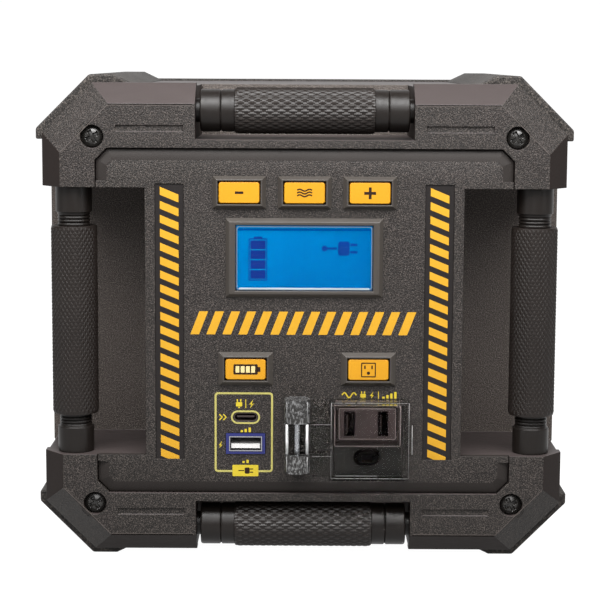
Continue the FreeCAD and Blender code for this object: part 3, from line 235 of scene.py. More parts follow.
def clear_with_painted_glints(name):
    """Thick clear moulding, smoky, with bright specks painted in for its small refractions:
    painted glints.
    """
    finish = Finish(name, (0.05, 0.05, 0.05), 0.12, IOR=1.2, Transmission_Weight=0.45)
    facets = finish.cells(520.0, 0.3)
    streaks = finish.noise(900.0, 2.0, 0.6, finish.stretched(1.4, 1.4, 0.7))
    finish.bump(facets, 0.7, 0.12 * MM)
    # painted glints: the colour runs from smoky grey to bright specks along fine streaks
    finish.colour(finish.blend(finish.fit(streaks, 0.47, 0.68), (0.026, 0.025, 0.024),
                               (0.17, 0.17, 0.17)))
    finish.roughness(finish.fit(streaks, 0.3, 0.7, 0.08, 0.2))
    return finish.material


def pale_painted_highlight(name, pale):
    """A painted highlight on an edge of clear plastic: pale and partly clear, for the light
    that the edge gathers.
    """
    finish = Finish(name, (pale, pale, pale), 0.35, IOR=1.45, Transmission_Weight=0.35)
    streaks = finish.noise(500.0, 3.0, 0.6, finish.stretched(2.0, 2.0, 0.3))
    finish.bump(streaks, 0.5, 0.05 * MM)
    finish.colour(finish.blend(finish.fit(streaks, 0.35, 0.7), (pale * 0.4,) * 3,
                               (pale * 1.3,) * 3))
    finish.roughness(finish.fit(streaks, 0.3, 0.7, 0.22, 0.42))
    return finish.material


def lit_ink(name, colour):
    """A dark segment of the display, seen against the light behind it; also the painted shadow
    under the window's top edge.
    """
    finish = Finish(name, (0.0, 0.0, 0.0), 0.6, Specular_IOR_Level=0.0)
    cloud = finish.noise(300.0, 2.0, 0.5)
    shade = finish.blend(finish.fit(cloud, 0.3, 0.7), colour, scaled(colour, 1.18))
    finish.feed(finish.shader.inputs["Emission Color"], shade)
    finish.shader.inputs["Emission Strength"].default_value = 1.0
    return finish.material


def backlit_glass(name):
    """The lit display: bright blue, paler to the upper left."""
    finish = Finish(name, (0.0, 0.03, 0.08), 0.6, Specular_IOR_Level=0.0)
    centre = middle("display_module")
    shift = finish.add("ShaderNodeMapping", {"Vector": finish.place,
                                             "Location": tuple(-centre)})
    parts = finish.add("ShaderNodeSeparateXYZ", {"Vector": shift.outputs["Vector"]})
    across = finish.fit(parts.outputs["X"], -26 * MM, 26 * MM)
    upward = finish.fit(parts.outputs["Z"], -12 * MM, 12 * MM)
    glow = finish.math("SUBTRACT", finish.math("MULTIPLY", upward, 0.35),
                       finish.math("MULTIPLY", across, 0.5))
    cloud = finish.noise(45.0, 2.0, 0.5)
    share = finish.math("ADD", finish.fit(glow, -0.5, 0.35),
                        finish.fit(cloud, 0.3, 0.7, -0.15, 0.15))
    shade = finish.blend(share, (0.0, 0.145, 0.44), (0.0, 0.235, 0.60))
    finish.colour(finish.blend(0.12, (0.0, 0.0, 0.0), shade))
    finish.feed(finish.shader.inputs["Emission Color"], shade)
    finish.shader.inputs["Emission Strength"].default_value = 0.74
    return finish.material


CASE_DARK = (0.0074, 0.0059, 0.0051)
CASE_LIGHT = (0.0505, 0.0420, 0.0372)
# painted light: the wells' grain is a lighter copy of the case's, for their lit back walls
WELL_PAINTED_LIT_DARK = (0.0320, 0.0262, 0.0230)
WELL_PAINTED_LIT_LIGHT = (0.115, 0.097, 0.087)
MAKERS = {
    grained: {
        "case_grain": (CASE_DARK, CASE_LIGHT),
        "well_grain": (WELL_PAINTED_LIT_DARK, WELL_PAINTED_LIT_LIGHT),
        "panel_grain": (CASE_DARK, CASE_LIGHT),
        "guard": ((0.0090, 0.0074, 0.0064), (0.055, 0.047, 0.041), 1400.0, 0.1, 0.55),
    },
    smooth_plastic: {
        # painted shade and painted light: the smooth bevels are coloured darker beside and
        # below and lighter above
        "case_side": ((0.0085, 0.0063, 0.0056), 0.5, 1.1, 0.05),
        "case_smooth": ((0.0212, 0.0166, 0.0160), 0.45),
        "panel_band": ((0.0098, 0.0081, 0.0073), 0.5, 1.1, 0.10),
        "rim": ((0.0215, 0.0185, 0.0160), 0.4),
        "key_yellow": ((0.262, 0.124, 0.0058), 0.42, 0.95, 0.11),
        # painted shade: a darker copy of the key yellow for the keys' edges and flange
        "key_side": ((0.15, 0.055, 0.003), 0.42, 0.95, 0.12),
        "inlay": ((0.0065, 0.0054, 0.0052), 0.4, 1.1, 0.12),
        "socket_blue": ((0.008, 0.010, 0.058), 0.4),
        "socket_white": ((0.30, 0.295, 0.29), 0.45),
        "outlet": ((0.0150, 0.0098, 0.0094), 0.5, 1.1, 0.12),
        "outlet_low": ((0.0055, 0.0048, 0.0042), 0.5, 1.1, 0.12),
        # painted highlight for the receptacle's step edges
        "outlet_edge": ((0.070, 0.057, 0.055), 0.45),
        "board": ((0.008, 0.055, 0.02), 0.35),
        "black_part": ((0.008, 0.008, 0.008), 0.45),
        "cell": ((0.012, 0.05, 0.12), 0.35),
    },
    ink: {
        # painted shade and painted highlight lines along the front's bevels
        "seam": ((0.003, 0.0025, 0.0022), 0.7, 0.02),
        "seam_light": ((0.040, 0.034, 0.031),),
        "key_ink": ((0.009, 0.0035, 0.0015),),
        "cream_ink": ((0.32, 0.26, 0.12),),
        "stripe_ink": ((0.265, 0.140, 0.009),),
        "pale_ink": ((0.20, 0.18, 0.055),),
        "label_ink": ((0.26, 0.20, 0.014),),
        "outlet_shade": ((0.0018, 0.0012, 0.0012), 0.7, 0.0),
    },
    metal: {
        "screw": ((0.010, 0.009, 0.008), 0.26, 0.35),
        "knurl": ((0.0067, 0.0049, 0.0041), 0.38, 0.0, 0.18),
        "ferrule": ((0.0048, 0.0036, 0.0030), 0.38, 0.0, 0.17),
        # painted glints of the display window's edge
        "lens_edge": ((0.070, 0.10, 0.13), 0.35, 0.3),
        "lens_foot": ((0.22, 0.26, 0.28), 0.35, 0.3),
        "steel": ((0.34, 0.34, 0.36), 0.25),
        # painted shade: dark metal for the shade inside the USB-C socket
        "dull_steel": ((0.075, 0.060, 0.056), 0.35),
        # painted shade: the contacts are darkened to near black so the outlet's holes look
        # dark
        "contact": ((0.020, 0.013, 0.008), 0.5),
        "iron": ((0.10, 0.09, 0.085), 0.5, 0.8),
        "alloy": ((0.34, 0.35, 0.36), 0.38),
    },
    backlit_glass: {
        "display": (),
    },
    lit_ink: {
        "segment": ((0.010, 0.040, 0.270),),
        "segment_line": ((0.006, 0.056, 0.31),),
        # painted shadow under the display window's top edge
        "blue_shade": ((0.0, 0.080, 0.33),),
    },
    clear_plastic: {
        "lens": ((0.97, 0.98, 1.0), 0.03, 1.06),
        "clear": ((0.96, 0.97, 0.965), 0.02, 1.06),
    },
    # painted highlights on the clear cover and its hinge
    pale_painted_highlight: {
        "glint": (0.62,),
        "clear_edge": (0.13,),
        "knuckle_edge": (0.30,),
    },
    clear_with_painted_glints: {
        "clear_knuckle": (),
    },
    rubber: {
        "gland": ((0.008, 0.008, 0.008), 0.55),
    },
}
FINISHES = {name: maker(name, *values) for maker, rows in MAKERS.items()
            for name, values in rows.items()}

# --- meshes ---


def mesh_of(form, name):
    """The work mesh written out as a mesh of that name."""
    mesh = bpy.data.meshes.new(name)
    form.to_mesh(mesh)
    form.free()
    return mesh


def new_piece(name, mesh, material):
    piece = bpy.data.objects.new(name, mesh)
    bpy.context.scene.collection.objects.link(piece)
    if material and not mesh.materials:
        mesh.materials.append(FINISHES[material])
    return piece


def settle(piece, body, slot, *nodes):
    """Put a finished piece on its body, in the place of its CAD nodes; its slot is not used.
    """
    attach(piece, body)
    if nodes:
        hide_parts(*nodes)
    return piece


def baked(piece):
    """The piece with its modifiers turned into a plain mesh."""
    graph = bpy.context.evaluated_depsgraph_get()
    mesh = bpy.data.meshes.new_from_object(piece.evaluated_get(graph))
    piece.modifiers.clear()
    piece.data = mesh
    return piece


def soften(piece, width, segments):
    """Round every crease a little, with the flats kept flat to the light."""
    bevel = piece.modifiers.new("edges", "BEVEL")
    bevel.width = width
    bevel.segments = segments
    bevel.limit_method = "ANGLE"
    bevel.angle_limit = math.radians(32)
    bevel.use_clamp_overlap = False
    bevel.loop_slide = False
    for face in piece.data.polygons:
        face.use_smooth = True
    normals = piece.modifiers.new("flats", "WEIGHTED_NORMAL")
    normals.weight = 80
    return baked(piece)


def merged_mesh(node):
    """A CAD node's loose triangles joined into one closed mesh."""
    form = bmesh.new()
    form.from_mesh(NODES[node].data)
    bmesh.ops.remove_doubles(form, verts=form.verts, dist=0.002 * MM)
    mesh = mesh_of(form, node)
    if "custom_normal" in mesh.attributes:
        mesh.attributes.remove(mesh.attributes["custom_normal"])
    mesh.materials.clear()
    return mesh


def better_copy(node, material, slot, width, body=CASE, segments=2, faces=None):
    """Stand in for a CAD node with a softened copy; faces() picks each face's finish."""
    mesh = merged_mesh(node)
    piece = new_piece(f"{node}_skin", mesh, material)
    if faces:
        finishes = faces(None)
        mesh.materials.clear()
        for finish in finishes:
            mesh.materials.append(FINISHES[finish])
        for face in mesh.polygons:
            face.material_index = finishes.index(faces(face))
    soften(piece, width, segments)
    return settle(piece, body, slot, node)


def turned(name, outline, centre, material, segments=64):
    """A closed ring of (height, radius) points turned about the upright through centre."""
    form = bmesh.new()
    rings = []
    for i in range(segments):
        angle = 2 * math.pi * i / segments
        ring = []
        for height, radius in outline:
            spot = Vector((radius * math.cos(angle), radius * math.sin(angle), height))
            ring.append(form.verts.new(spot + centre))
        rings.append(ring)
    count = len(outline)
    for i, ring in enumerate(rings):
        after = rings[(i + 1) % segments]
        for j in range(count):
            k = (j + 1) % count
            form.faces.new((ring[j], ring[k], after[k], after[j]))
    bmesh.ops.recalc_face_normals(form, faces=form.faces)
    return new_piece(name, mesh_of(form, name), material)


# --- flat outlines, in millimetres from the panel's middle ---


def arc(x, z, radius, start, end, steps):
    """Points round part of a circle, angles in degrees."""
    points = []
    for i in range(steps + 1):
        angle = math.radians(start + (end - start) * i / steps)
        points.append((x + radius * math.cos(angle), z + radius * math.sin(angle)))
    return points


def round_box(x0, x1, z0, z1, radius, steps=5):
    points = []
    for x, z, start in ((x1 - radius, z1 - radius, 0), (x0 + radius, z1 - radius, 90),
                        (x0 + radius, z0 + radius, 180), (x1 - radius, z0 + radius, 270)):
        points += arc(x, z, radius, start, start + 90, steps)
    return points


def disc(x, z, radius, steps=20):
    return arc(x, z, radius, 0, 360 - 360 / steps, steps - 1)


class Print:
    """Flat shapes laid on an upright face, each a thin closed prism."""

    def __init__(self, name, face_y, proud=0.05 * MM, sunk=0.05 * MM):
        self.name = name
        self.front = face_y - proud
        self.back = face_y + sunk
        self.form = bmesh.new()

    def corner(self, x, z, y):
        return self.form.verts.new((x * MM, y, MID_Z + z * MM))

    def shape(self, points):
        front = [self.corner(x, z, self.front) for x, z in points]
        back = [self.corner(x, z, self.back) for x, z in points]
        self.form.faces.new(front)
        self.form.faces.new(list(reversed(back)))
        count = len(points)
        for i in range(count):
            j = (i + 1) % count
            self.form.faces.new((front[i], back[i], back[j], front[j]))

    def ring(self, outer, inner):
        rows = [[self.corner(x, z, y) for x, z in points]
                for points, y in ((outer, self.front), (outer, self.back),
                                  (inner, self.back), (inner, self.front))]
        count = len(outer)
        for i in range(count):
            j = (i + 1) % count
            for a, b in zip(rows, rows[1:] + rows[:1]):
                self.form.faces.new((a[i], b[i], b[j], a[j]))

    def line(self, points, width):
        """A stroke of one width along points, mitred at its corners."""
        rails = [[], [], [], []]
        for i, here in enumerate(points):
            before = Vector(points[max(i - 1, 0)])
            after = Vector(points[min(i + 1, len(points) - 1)])
            way = (after - before).normalized()
            side = Vector((-way.y, way.x)) * width / 2
            for rail, sign, y in zip(rails, (1, 1, -1, -1),
                                     (self.front, self.back, self.back, self.front)):
                spot = Vector(here) + side * sign
                rail.append(self.corner(spot.x, spot.y, y))
        for a, b in zip(rails, rails[1:] + rails[:1]):
            for i in range(len(points) - 1):
                self.form.faces.new((a[i], b[i], b[i + 1], a[i + 1]))
        for i in (0, -1):
            self.form.faces.new([rail[i] for rail in rails])

    def finish(self, material, slot, body=CASE):
        bmesh.ops.recalc_face_normals(self.form, faces=self.form.faces)
        mesh = mesh_of(self.form, self.name)
        return settle(new_piece(self.name, mesh, material), body, slot)


# --- Geometry Nodes recipes ---


class Recipe:
    """A Geometry Nodes tree with named inputs, that ends in one finish."""

    KINDS = {float: "NodeSocketFloat", int: "NodeSocketInt", tuple: "NodeSocketVector",
             str: "NodeSocketMaterial"}

    def __init__(self, name, **inputs):
        self.tree = bpy.data.node_groups.new(name, "GeometryNodeTree")
        self.labels = {}
        for label, value in inputs.items():
            socket = self.tree.interface.new_socket(label.replace("_", " "), in_out="INPUT",
                                                    socket_type=self.KINDS[type(value)])
            if not isinstance(value, str):
                socket.default_value = value
            self.labels[label] = socket.identifier
        self.tree.interface.new_socket("Geometry", in_out="OUTPUT",
                                       socket_type="NodeSocketGeometry")
        self.source = self.tree.nodes.new("NodeGroupInput")

    def given(self, label):
        return next(s for s in self.source.outputs if s.identifier == self.labels[label])

    def add(self, kind, inputs=None, **settings):
        node = self.tree.nodes.new(kind)
        for label, value in settings.items():
            setattr(node, label, value)
        for key, value in (inputs or {}).items():
            if isinstance(value, bpy.types.NodeSocket):
                self.tree.links.new(value, node.inputs[key])
            else:
                node.inputs[key].default_value = value
        return node

    def math(self, operation, a, b=0.0):
        return self.add("ShaderNodeMath", {0: a, 1: b}, operation=operation).outputs[0]

    def end(self, geometry):
        real = self.add("GeometryNodeRealizeInstances", {0: geometry})
        coat = self.add("GeometryNodeSetMaterial", {"Geometry": real.outputs[0],
                                                    "Material": self.given("Finish")})
        result = self.tree.nodes.new("NodeGroupOutput")
        self.tree.links.new(coat.outputs[0], result.inputs[0])

    def grow(self, name, **values):
        """Run the recipe once and return its result as a plain mesh piece."""
        piece = new_piece(name, bpy.data.meshes.new(name), None)
        step = piece.modifiers.new("recipe", "NODES")
        step.node_group = self.tree
        for label, value in values.items():
            step[self.labels[label]] = FINISHES[value] if label == "Finish" else value
        return baked(piece)


def knurl_recipe():
    """A tube rolled with crossed grooves: raised diamonds Around by Along."""
    recipe = Recipe("rolled_knurl", Radius=0.0088, Length=0.05, Around=26, Along=12,
                    Depth=0.0004, Edge=0.0008, Turn=(0.0, 0.0, 0.0), Centre=(0.0, 0.0, 0.0),
                    Finish="knurl")
    add = recipe.add
    do = recipe.math
    given = recipe.given
    steps = 6
    crown = 2.6
    tube = add("GeometryNodeMeshCylinder", {
        "Vertices": do("MULTIPLY", given("Around"), steps),
        "Side Segments": do("MULTIPLY", given("Along"), steps),
        "Radius": given("Radius"), "Depth": given("Length")})
    spot = add("ShaderNodeSeparateXYZ", {0: add("GeometryNodeInputPosition").outputs[0]})
    angle = do("ARCTAN2", spot.outputs["Y"], spot.outputs["X"])
    u = do("MULTIPLY", do("DIVIDE", angle, 2 * math.pi), given("Around"))
    v = do("MULTIPLY", do("DIVIDE", spot.outputs["Z"], given("Length")), given("Along"))
    slopes = [do("PINGPONG", do(sign, u, v), 0.5) for sign in ("ADD", "SUBTRACT")]
    rise = do("MINIMUM", do("MULTIPLY", do("MINIMUM", *slopes), crown), 1.0)
    from_end = do("SUBTRACT", do("DIVIDE", given("Length"), 2.0),
                  do("ABSOLUTE", spot.outputs["Z"]))
    fade = do("MINIMUM", do("DIVIDE", from_end, given("Edge")), 1.0)
    drop = do("MULTIPLY", do("SUBTRACT", 1.0, do("MULTIPLY", rise, fade)), given("Depth"))
    share = do("SUBTRACT", 1.0, do("DIVIDE", drop, given("Radius")))
    flat = add("ShaderNodeCombineXYZ", {
        0: do("MULTIPLY", spot.outputs["X"], share),
        1: do("MULTIPLY", spot.outputs["Y"], share), 2: spot.outputs["Z"]})
    shaped = add("GeometryNodeSetPosition", {"Geometry": tube.outputs["Mesh"],
                                             "Position": flat.outputs[0]})
    placed = add("GeometryNodeTransform", {
        "Geometry": shaped.outputs[0], "Translation": given("Centre"),
        "Rotation": given("Turn")})
    recipe.end(placed.outputs[0])
    return recipe


def stripe_recipe():
    """A row of slanted bars: each a block sheared by Lean (top) or Fall (side)."""
    recipe = Recipe("stripe_row", Count=10, Pitch=(0.006, 0.0, 0.0), Start=(0.0, 0.0, 0.0),
                    Size=(0.003, 0.0001, 0.008), Lean=0.0, Fall=0.0, Finish="stripe_ink")
    bar = recipe.add("GeometryNodeMeshCube", {"Size": recipe.given("Size")})
    spot = recipe.add("ShaderNodeSeparateXYZ",
                      {0: recipe.add("GeometryNodeInputPosition").outputs[0]})
    shear = recipe.add("ShaderNodeCombineXYZ", {
        0: recipe.math("MULTIPLY", spot.outputs["Z"], recipe.given("Lean")), 1: 0.0,
        2: recipe.math("MULTIPLY", spot.outputs["X"], recipe.given("Fall"))})
    slanted = recipe.add("GeometryNodeSetPosition", {"Geometry": bar.outputs["Mesh"],
                                                     "Offset": shear.outputs[0]})
    row = recipe.add("GeometryNodeMeshLine", {
        "Count": recipe.given("Count"), "Start Location": recipe.given("Start"),
        "Offset": recipe.given("Pitch")})
    copies = recipe.add("GeometryNodeInstanceOnPoints", {"Points": row.outputs[0],
                                                         "Instance": slanted.outputs[0]})
    recipe.end(copies.outputs[0])
    return recipe


# --- case ---

def case_face(face):
    """Grain on the flat and corner faces, with a painted lighter grain in the wells; polish
    above, painted lighter as lit, and duller polish beside and below, painted darker as shade.
    """
    if face is None:
        return ["case_grain", "well_grain", "case_smooth", "case_side"]
    normal = face.normal
    well_depth = 30 * MM
    if abs(normal.y) > 0.9:
        # painted light: faces deep in the wells take the lighter copy of the grain
        in_well = abs(face.center.y) < abs(PANEL_Y) - well_depth
        return "well_grain" if in_well else "case_grain"
    if abs(normal.x) > 0.4 and abs(normal.z) > 0.4:
        return "case_grain"
    return "case_smooth" if normal.z > 0.4 else "case_side"


def panel_face(face):
    """Grain on the flat of the panel, a duller band round its rim."""
    if face is None:
        return ["panel_grain", "panel_band"]
    is_flat = abs(face.normal.y) > 0.985
    return "panel_grain" if is_flat else "panel_band"


def make_bevel_painted_lines():
    """Painted lines where the front's bevels meet its flat face: painted shade, dark in the
    crease, and painted highlights, pale along the edges.
    """
    dark = Print("bevel_painted_shade_lines", PANEL_Y)
    light = Print("bevel_painted_highlight_lines", PANEL_Y)
    start, end = 42.0, 73.4
    for x_side in (-1, 1):
        for z_side in (-1, 1):
            dark.line([(start * x_side, 82.1 * z_side), (end * x_side, 82.1 * z_side)], 0.3)
            light.line([(73.6 * x_side, 81.9 * z_side), (91.4 * x_side, 64.1 * z_side)], 0.28)
            light.line([(start * x_side, 81.7 * z_side), (end * x_side, 81.7 * z_side)], 0.22)
    dark.finish("seam", "case_plastic")
    light.finish("seam_light", "case_plastic")


def make_case():
    make_bevel_painted_lines()
    for node in ("front_housing", "rear_housing"):
        better_copy(node, "case_grain", "case_plastic", width=0.25 * MM, faces=case_face)
    better_copy("control_panel", "panel_grain", "panel_plastic", width=0.2 * MM,
                faces=panel_face)
    for row in ("top", "bottom"):
        for side in ("left", "right"):
            better_copy(f"corner_guard_{row}_{side}", "guard", "guard_rubber",
                        width=0.6 * MM)


# --- grips ---


def make_sleeve(name, recipe):
    node = f"grip_sleeve_{name}"
    size = span(node)
    upright = name in ("left", "right")
    length = size.z if upright else size.x
    piece = recipe.grow(
        f"knurled_sleeve_{name}", Radius=size.y / 2, Length=length,
        Around=31 if upright else 26, Along=27 if upright else 12,
        Depth=(0.32 if upright else 0.42) * MM,
        Turn=(0.0, 0.0, 0.0) if upright else (0.0, math.pi / 2, 0.0),
        Centre=tuple(middle(node)), Finish="knurl")
    piece.data.set_sharp_from_angle(angle=math.radians(28))
    settle(piece, CASE, "grip_knurl", node)


def make_grips():
    recipe = knurl_recipe()
    for name in ("top", "bottom", "left", "right"):
        make_sleeve(name, recipe)
        better_copy(f"grip_ferrules_{name}", "ferrule", "grip_metal", width=0.3 * MM)


# --- keys and display ---

KEYS = {"minus_key": (-24.5, 49.4), "air_key": (0.0, 49.4), "plus_key": (24.5, 49.4),
        "battery_key": (-22.0, -17.5), "outlet_key": (24.5, -17.5)}


def key_legend(name, key, proud=0.05):
    return Print(name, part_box(key)[0].y, proud * MM)


def legend_minus(x, z):
    legend = key_legend("minus_legend", "minus_key")
    legend.shape(round_box(x - 1.6, x + 1.6, z - 0.44, z + 0.44, 0.1, 2))
    legend.finish("key_ink", "inlay_black", "minus_key")


def legend_plus(x, z):
    legend = key_legend("plus_legend", "plus_key")
    long = 2.2
    half = 0.52
    legend.shape([(x - long, z - half), (x - half, z - half), (x - half, z - long),
                  (x + half, z - long), (x + half, z - half), (x + long, z - half),
                  (x + long, z + half), (x + half, z + half), (x + half, z + long),
                  (x - half, z + long), (x - half, z + half), (x - long, z + half)])
    legend.finish("key_ink", "inlay_black", "plus_key")


def wave(x0, x1, z, swing, turns, steps=24):
    """Points along a level sine wave."""
    points = []
    for i in range(steps + 1):
        share = i / steps
        points.append((x0 + (x1 - x0) * share,
                       z + swing * math.sin(2 * math.pi * turns * share)))
    return points


def legend_air(x, z):
    legend = key_legend("air_legend", "air_key")
    for row in (-1.05, 0.0, 1.05):
        legend.line(wave(x - 2.8, x + 2.8, z + row, 0.34, 1.5), 0.5)
    legend.finish("key_ink", "inlay_black", "air_key")


def legend_battery(x, z):
    legend = key_legend("battery_legend", "battery_key")
    legend.shape(round_box(x - 4.6, x + 4.6, z - 1.95, z + 1.95, 0.35, 3))
    legend.shape(round_box(x + 4.5, x + 5.6, z - 0.95, z + 0.95, 0.25, 3))
    legend.finish("key_ink", "inlay_black", "battery_key")
    cells = key_legend("battery_legend_cells", "battery_key", 0.09)
    for i in range(4):
        left = x - 3.8 + i * 1.98
        cells.shape(round_box(left, left + 1.45, z - 1.25, z + 1.25, 0.15, 2))
    cells.finish("cream_ink", "key_yellow", "battery_key")


def legend_outlet(x, z):
    legend = key_legend("outlet_legend", "outlet_key")
    legend.ring(round_box(x - 2.8, x + 2.8, z - 2.8, z + 2.8, 0.3, 3),
                round_box(x - 2.4, x + 2.4, z - 2.4, z + 2.4, 0.15, 3))
    for side in (-1, 1):
        middle_x = x + side * 1.35
        legend.shape(round_box(middle_x - 0.27, middle_x + 0.27, z + 0.35, z + 1.7, 0.1, 2))
    legend.shape(disc(x, z - 1.25, 0.62))
    legend.finish("key_ink", "inlay_black", "outlet_key")


def key_face(face):
    """The face of a key is bright; its edges and flange are painted a deeper orange, as shade.
    """
    if face is None:
        return ["key_yellow", "key_side"]
    return "key_yellow" if face.normal.y < -0.9 else "key_side"


def make_keys():
    better_copy("key_surrounds", "rim", "rim_plastic", width=0.15 * MM)
    for name in KEYS:
        better_copy(name, "key_yellow", "key_yellow", body=name, width=0.45 * MM, segments=3,
                    faces=key_face)
    legend_minus(*KEYS["minus_key"])
    legend_plus(*KEYS["plus_key"])
    legend_air(*KEYS["air_key"])
    legend_battery(*KEYS["battery_key"])
    legend_outlet(*KEYS["outlet_key"])


def plug_sign(mark, x, z, size, cord):
    """A plug lying on its side: cord, body and two prongs, size millimetres tall."""
    mark.shape(round_box(x - size * 0.35, x + size * 0.45, z - size / 2, z + size / 2,
                         size * 0.18, 3))
    for side in (-1, 1):
        level = z + side * size * 0.26
        mark.shape(round_box(x + size * 0.5, x + size * 1.0, level - size * 0.08,
                             level + size * 0.08, size * 0.05, 2))
    mark.shape(round_box(x - size * 0.35 - cord, x - size * 0.42, z - size * 0.07,
                         z + size * 0.07, size * 0.04, 2))


def upright_plug(mark, x, z, size):
    """A plug standing up: prongs, body and a stub of cord, size millimetres tall."""
    mark.shape(round_box(x - size * 0.34, x + size * 0.34, z - size * 0.30, z + size * 0.18,
                         size * 0.08, 3))
    for side in (-1, 1):
        middle_x = x + side * size * 0.19
        mark.shape(round_box(middle_x - size * 0.07, middle_x + size * 0.07,
                             z + size * 0.22, z + size * 0.5, size * 0.03, 2))
    mark.shape(round_box(x - size * 0.08, x + size * 0.08, z - size * 0.5,
                         z - size * 0.34, size * 0.03, 2))


def rising_bars(mark, left, foot, count, first, step):
    """Upright bars in a row, each a step taller than the last: a sign for power."""
    for i in range(count):
        x = left + i * 1.5
        mark.shape(round_box(x, x + 0.9, foot, foot + first + i * step, 0.1, 2))


def bolt_sign(mark, x, z, size):
    """A lightning bolt in two slanted halves, size millimetres tall."""
    mark.shape([(x + size * 0.18, z + size * 0.5), (x - size * 0.26, z - size * 0.08),
                (x + size * 0.10, z - size * 0.08), (x + size * 0.02, z + size * 0.08)])
    mark.shape([(x - size * 0.02, z - size * 0.10), (x + size * 0.26, z + size * 0.06),
                (x - size * 0.18, z - size * 0.5)])


def make_charge_sign(face_y):
    """The display's four-bar charge picture: upright, with a cap on top."""
    line = Print("charge_outline", face_y)
    line.ring(round_box(-21.0, -13.9, 16.1, 32.1, 0.3, 2),
              round_box(-20.6, -14.3, 16.5, 31.7, 0.2, 2))
    line.shape(round_box(-19.1, -15.8, 32.05, 32.8, 0.2, 2))
    line.finish("segment_line", "display_glass")
    recipe = stripe_recipe()
    bars = recipe.grow("charge_bars", Count=4, Pitch=(0.0, 0.0, 3.75 * MM),
                       Start=(-17.45 * MM, face_y, MID_Z + 18.45 * MM),
                       Size=(5.7 * MM, 0.1 * MM, 3.25 * MM), Finish="segment")
    settle(bars, CASE, "display_glass")


def make_display():
    better_copy("display_rim", "rim", "rim_plastic", width=0.2 * MM)
    module_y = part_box("display_module")[0].y
    make_charge_sign(module_y)
    sign = Print("display_plug_sign", module_y)
    plug_sign(sign, 14.6, 28.4, 5.4, 4.6)
    sign.shape(disc(7.6, 28.4, 1.1))
    sign.finish("segment_line", "display_glass")
    # painted shadow: a darker blue band under the window's top edge
    shade = Print("display_top_painted_shadow", module_y)
    shade.shape(round_box(-24.9, 24.9, 35.0, 35.8, 0.3, 2))
    shade.finish("blue_shade", "display_glass")
    # painted highlights: a pale metal ring round the window's edge and a brighter strip along
    # its foot, for the light the lens edge catches
    window_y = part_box("display_window")[0].y
    edge = Print("window_edge_painted_glint", window_y, 0.04 * MM, 0.3 * MM)
    edge.ring(round_box(-25.5, 25.5, 12.8, 36.8, 1.1), round_box(-25.2, 25.2, 13.1, 36.5, 0.9))
    edge.finish("lens_edge", "clear_lens")
    foot = Print("window_foot_painted_glint", window_y, 0.06 * MM, 0.3 * MM)
    foot.shape(round_box(-24.6, 24.6, 13.0, 13.6, 0.3, 2))
    foot.finish("lens_foot", "clear_lens")


# --- warning stripes ---


def make_stripes():
    recipe = stripe_recipe()
    inlay_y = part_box("hazard_inlays")[0].y
    thin = 0.1 * MM
    for side in (-1, 1):
        piece = recipe.grow(
            f"upright_stripes_{'left' if side < 0 else 'right'}", Count=20,
            Pitch=(0.0, 0.0, -5.25 * MM),
            Start=(50.8 * MM * side, inlay_y, MID_Z + 48.4 * MM),
            Size=(7 * MM, thin, 2.95 * MM), Fall=-0.414, Finish="stripe_ink")
        settle(piece, CASE, "key_yellow")
    piece = recipe.grow("level_stripes", Count=14, Pitch=(6.05 * MM, 0.0, 0.0),
                        Start=(-39.6 * MM, PANEL_Y, MID_Z),
                        Size=(3.3 * MM, thin, 8.8 * MM), Lean=0.39, Finish="stripe_ink")
    settle(piece, CASE, "key_yellow")


# --- charging sockets, outlet and its cover ---


def stadium(x, z, width, height, steps=8):
    """A pill outline: two half circles joined by straight runs."""
    radius = height / 2
    reach = width / 2 - radius
    return (arc(x + reach, z, radius, -90, 90, steps)
            + arc(x - reach, z, radius, 90, 270, steps))


def make_port_marks():
    lines = Print("port_outline", PANEL_Y)
    lines.ring(round_box(-33.8, -11.6, -57.5, -26.6, 1.3),
               round_box(-33.05, -12.35, -56.75, -27.35, 0.7))
    port = (-22.05, -36.2)
    lines.ring(stadium(*port, 11.1, 5.2), stadium(*port, 9.8, 3.9))
    lines.finish("pale_ink", "key_yellow")
    signs = Print("port_signs", PANEL_Y)
    level = -31.0
    upright_plug(signs, -24.5, level, 3.5)
    signs.shape(round_box(-22.1, -21.8, -32.7, -29.3, 0.1, 2))
    bolt_sign(signs, -19.7, level, 3.5)
    bolt_sign(signs, -31.5, -46.9, 2.9)
    for i in range(2):
        left = -32.0 + i * 1.5
        signs.line([(left, -35.1), (left + 1.1, -36.2), (left, -37.3)], 0.5)
    rising_bars(signs, -23.9, -42.0, 3, 0.8, 0.5)
    rising_bars(signs, -23.2, -54.0, 2, 0.8, 0.5)
    signs.finish("label_ink", "key_yellow")
    label = Print("port_label", PANEL_Y, 0.09 * MM)
    label.shape(round_box(-27.0, -17.1, -59.1, -54.7, 0.3, 2))
    label.finish("label_ink", "key_yellow")
    dark = Print("port_label_sign", PANEL_Y, 0.13 * MM)
    plug_sign(dark, -21.5, -56.9, 2.4, 2.4)
    dark.finish("key_ink", "inlay_black")


def make_outlet_marks():
    marks = Print("outlet_signs", PANEL_Y)
    level = -27.5
    marks.line(wave(14.6, 20.0, level, 0.95, 1.5), 0.5)
    upright_plug(marks, 22.6, level, 3.0)
    bolt_sign(marks, 26.0, level, 3.0)
    marks.shape(round_box(28.3, 28.6, -29.0, -26.0, 0.1, 2))
    rising_bars(marks, 29.9, -28.9, 4, 0.9, 0.6)
    marks.finish("label_ink", "key_yellow")


def outlet_face(face):
    if face is None:
        return ["outlet", "outlet_low"]
    return "outlet_low" if face.center.z < MID_Z - 47.2 * MM else "outlet"


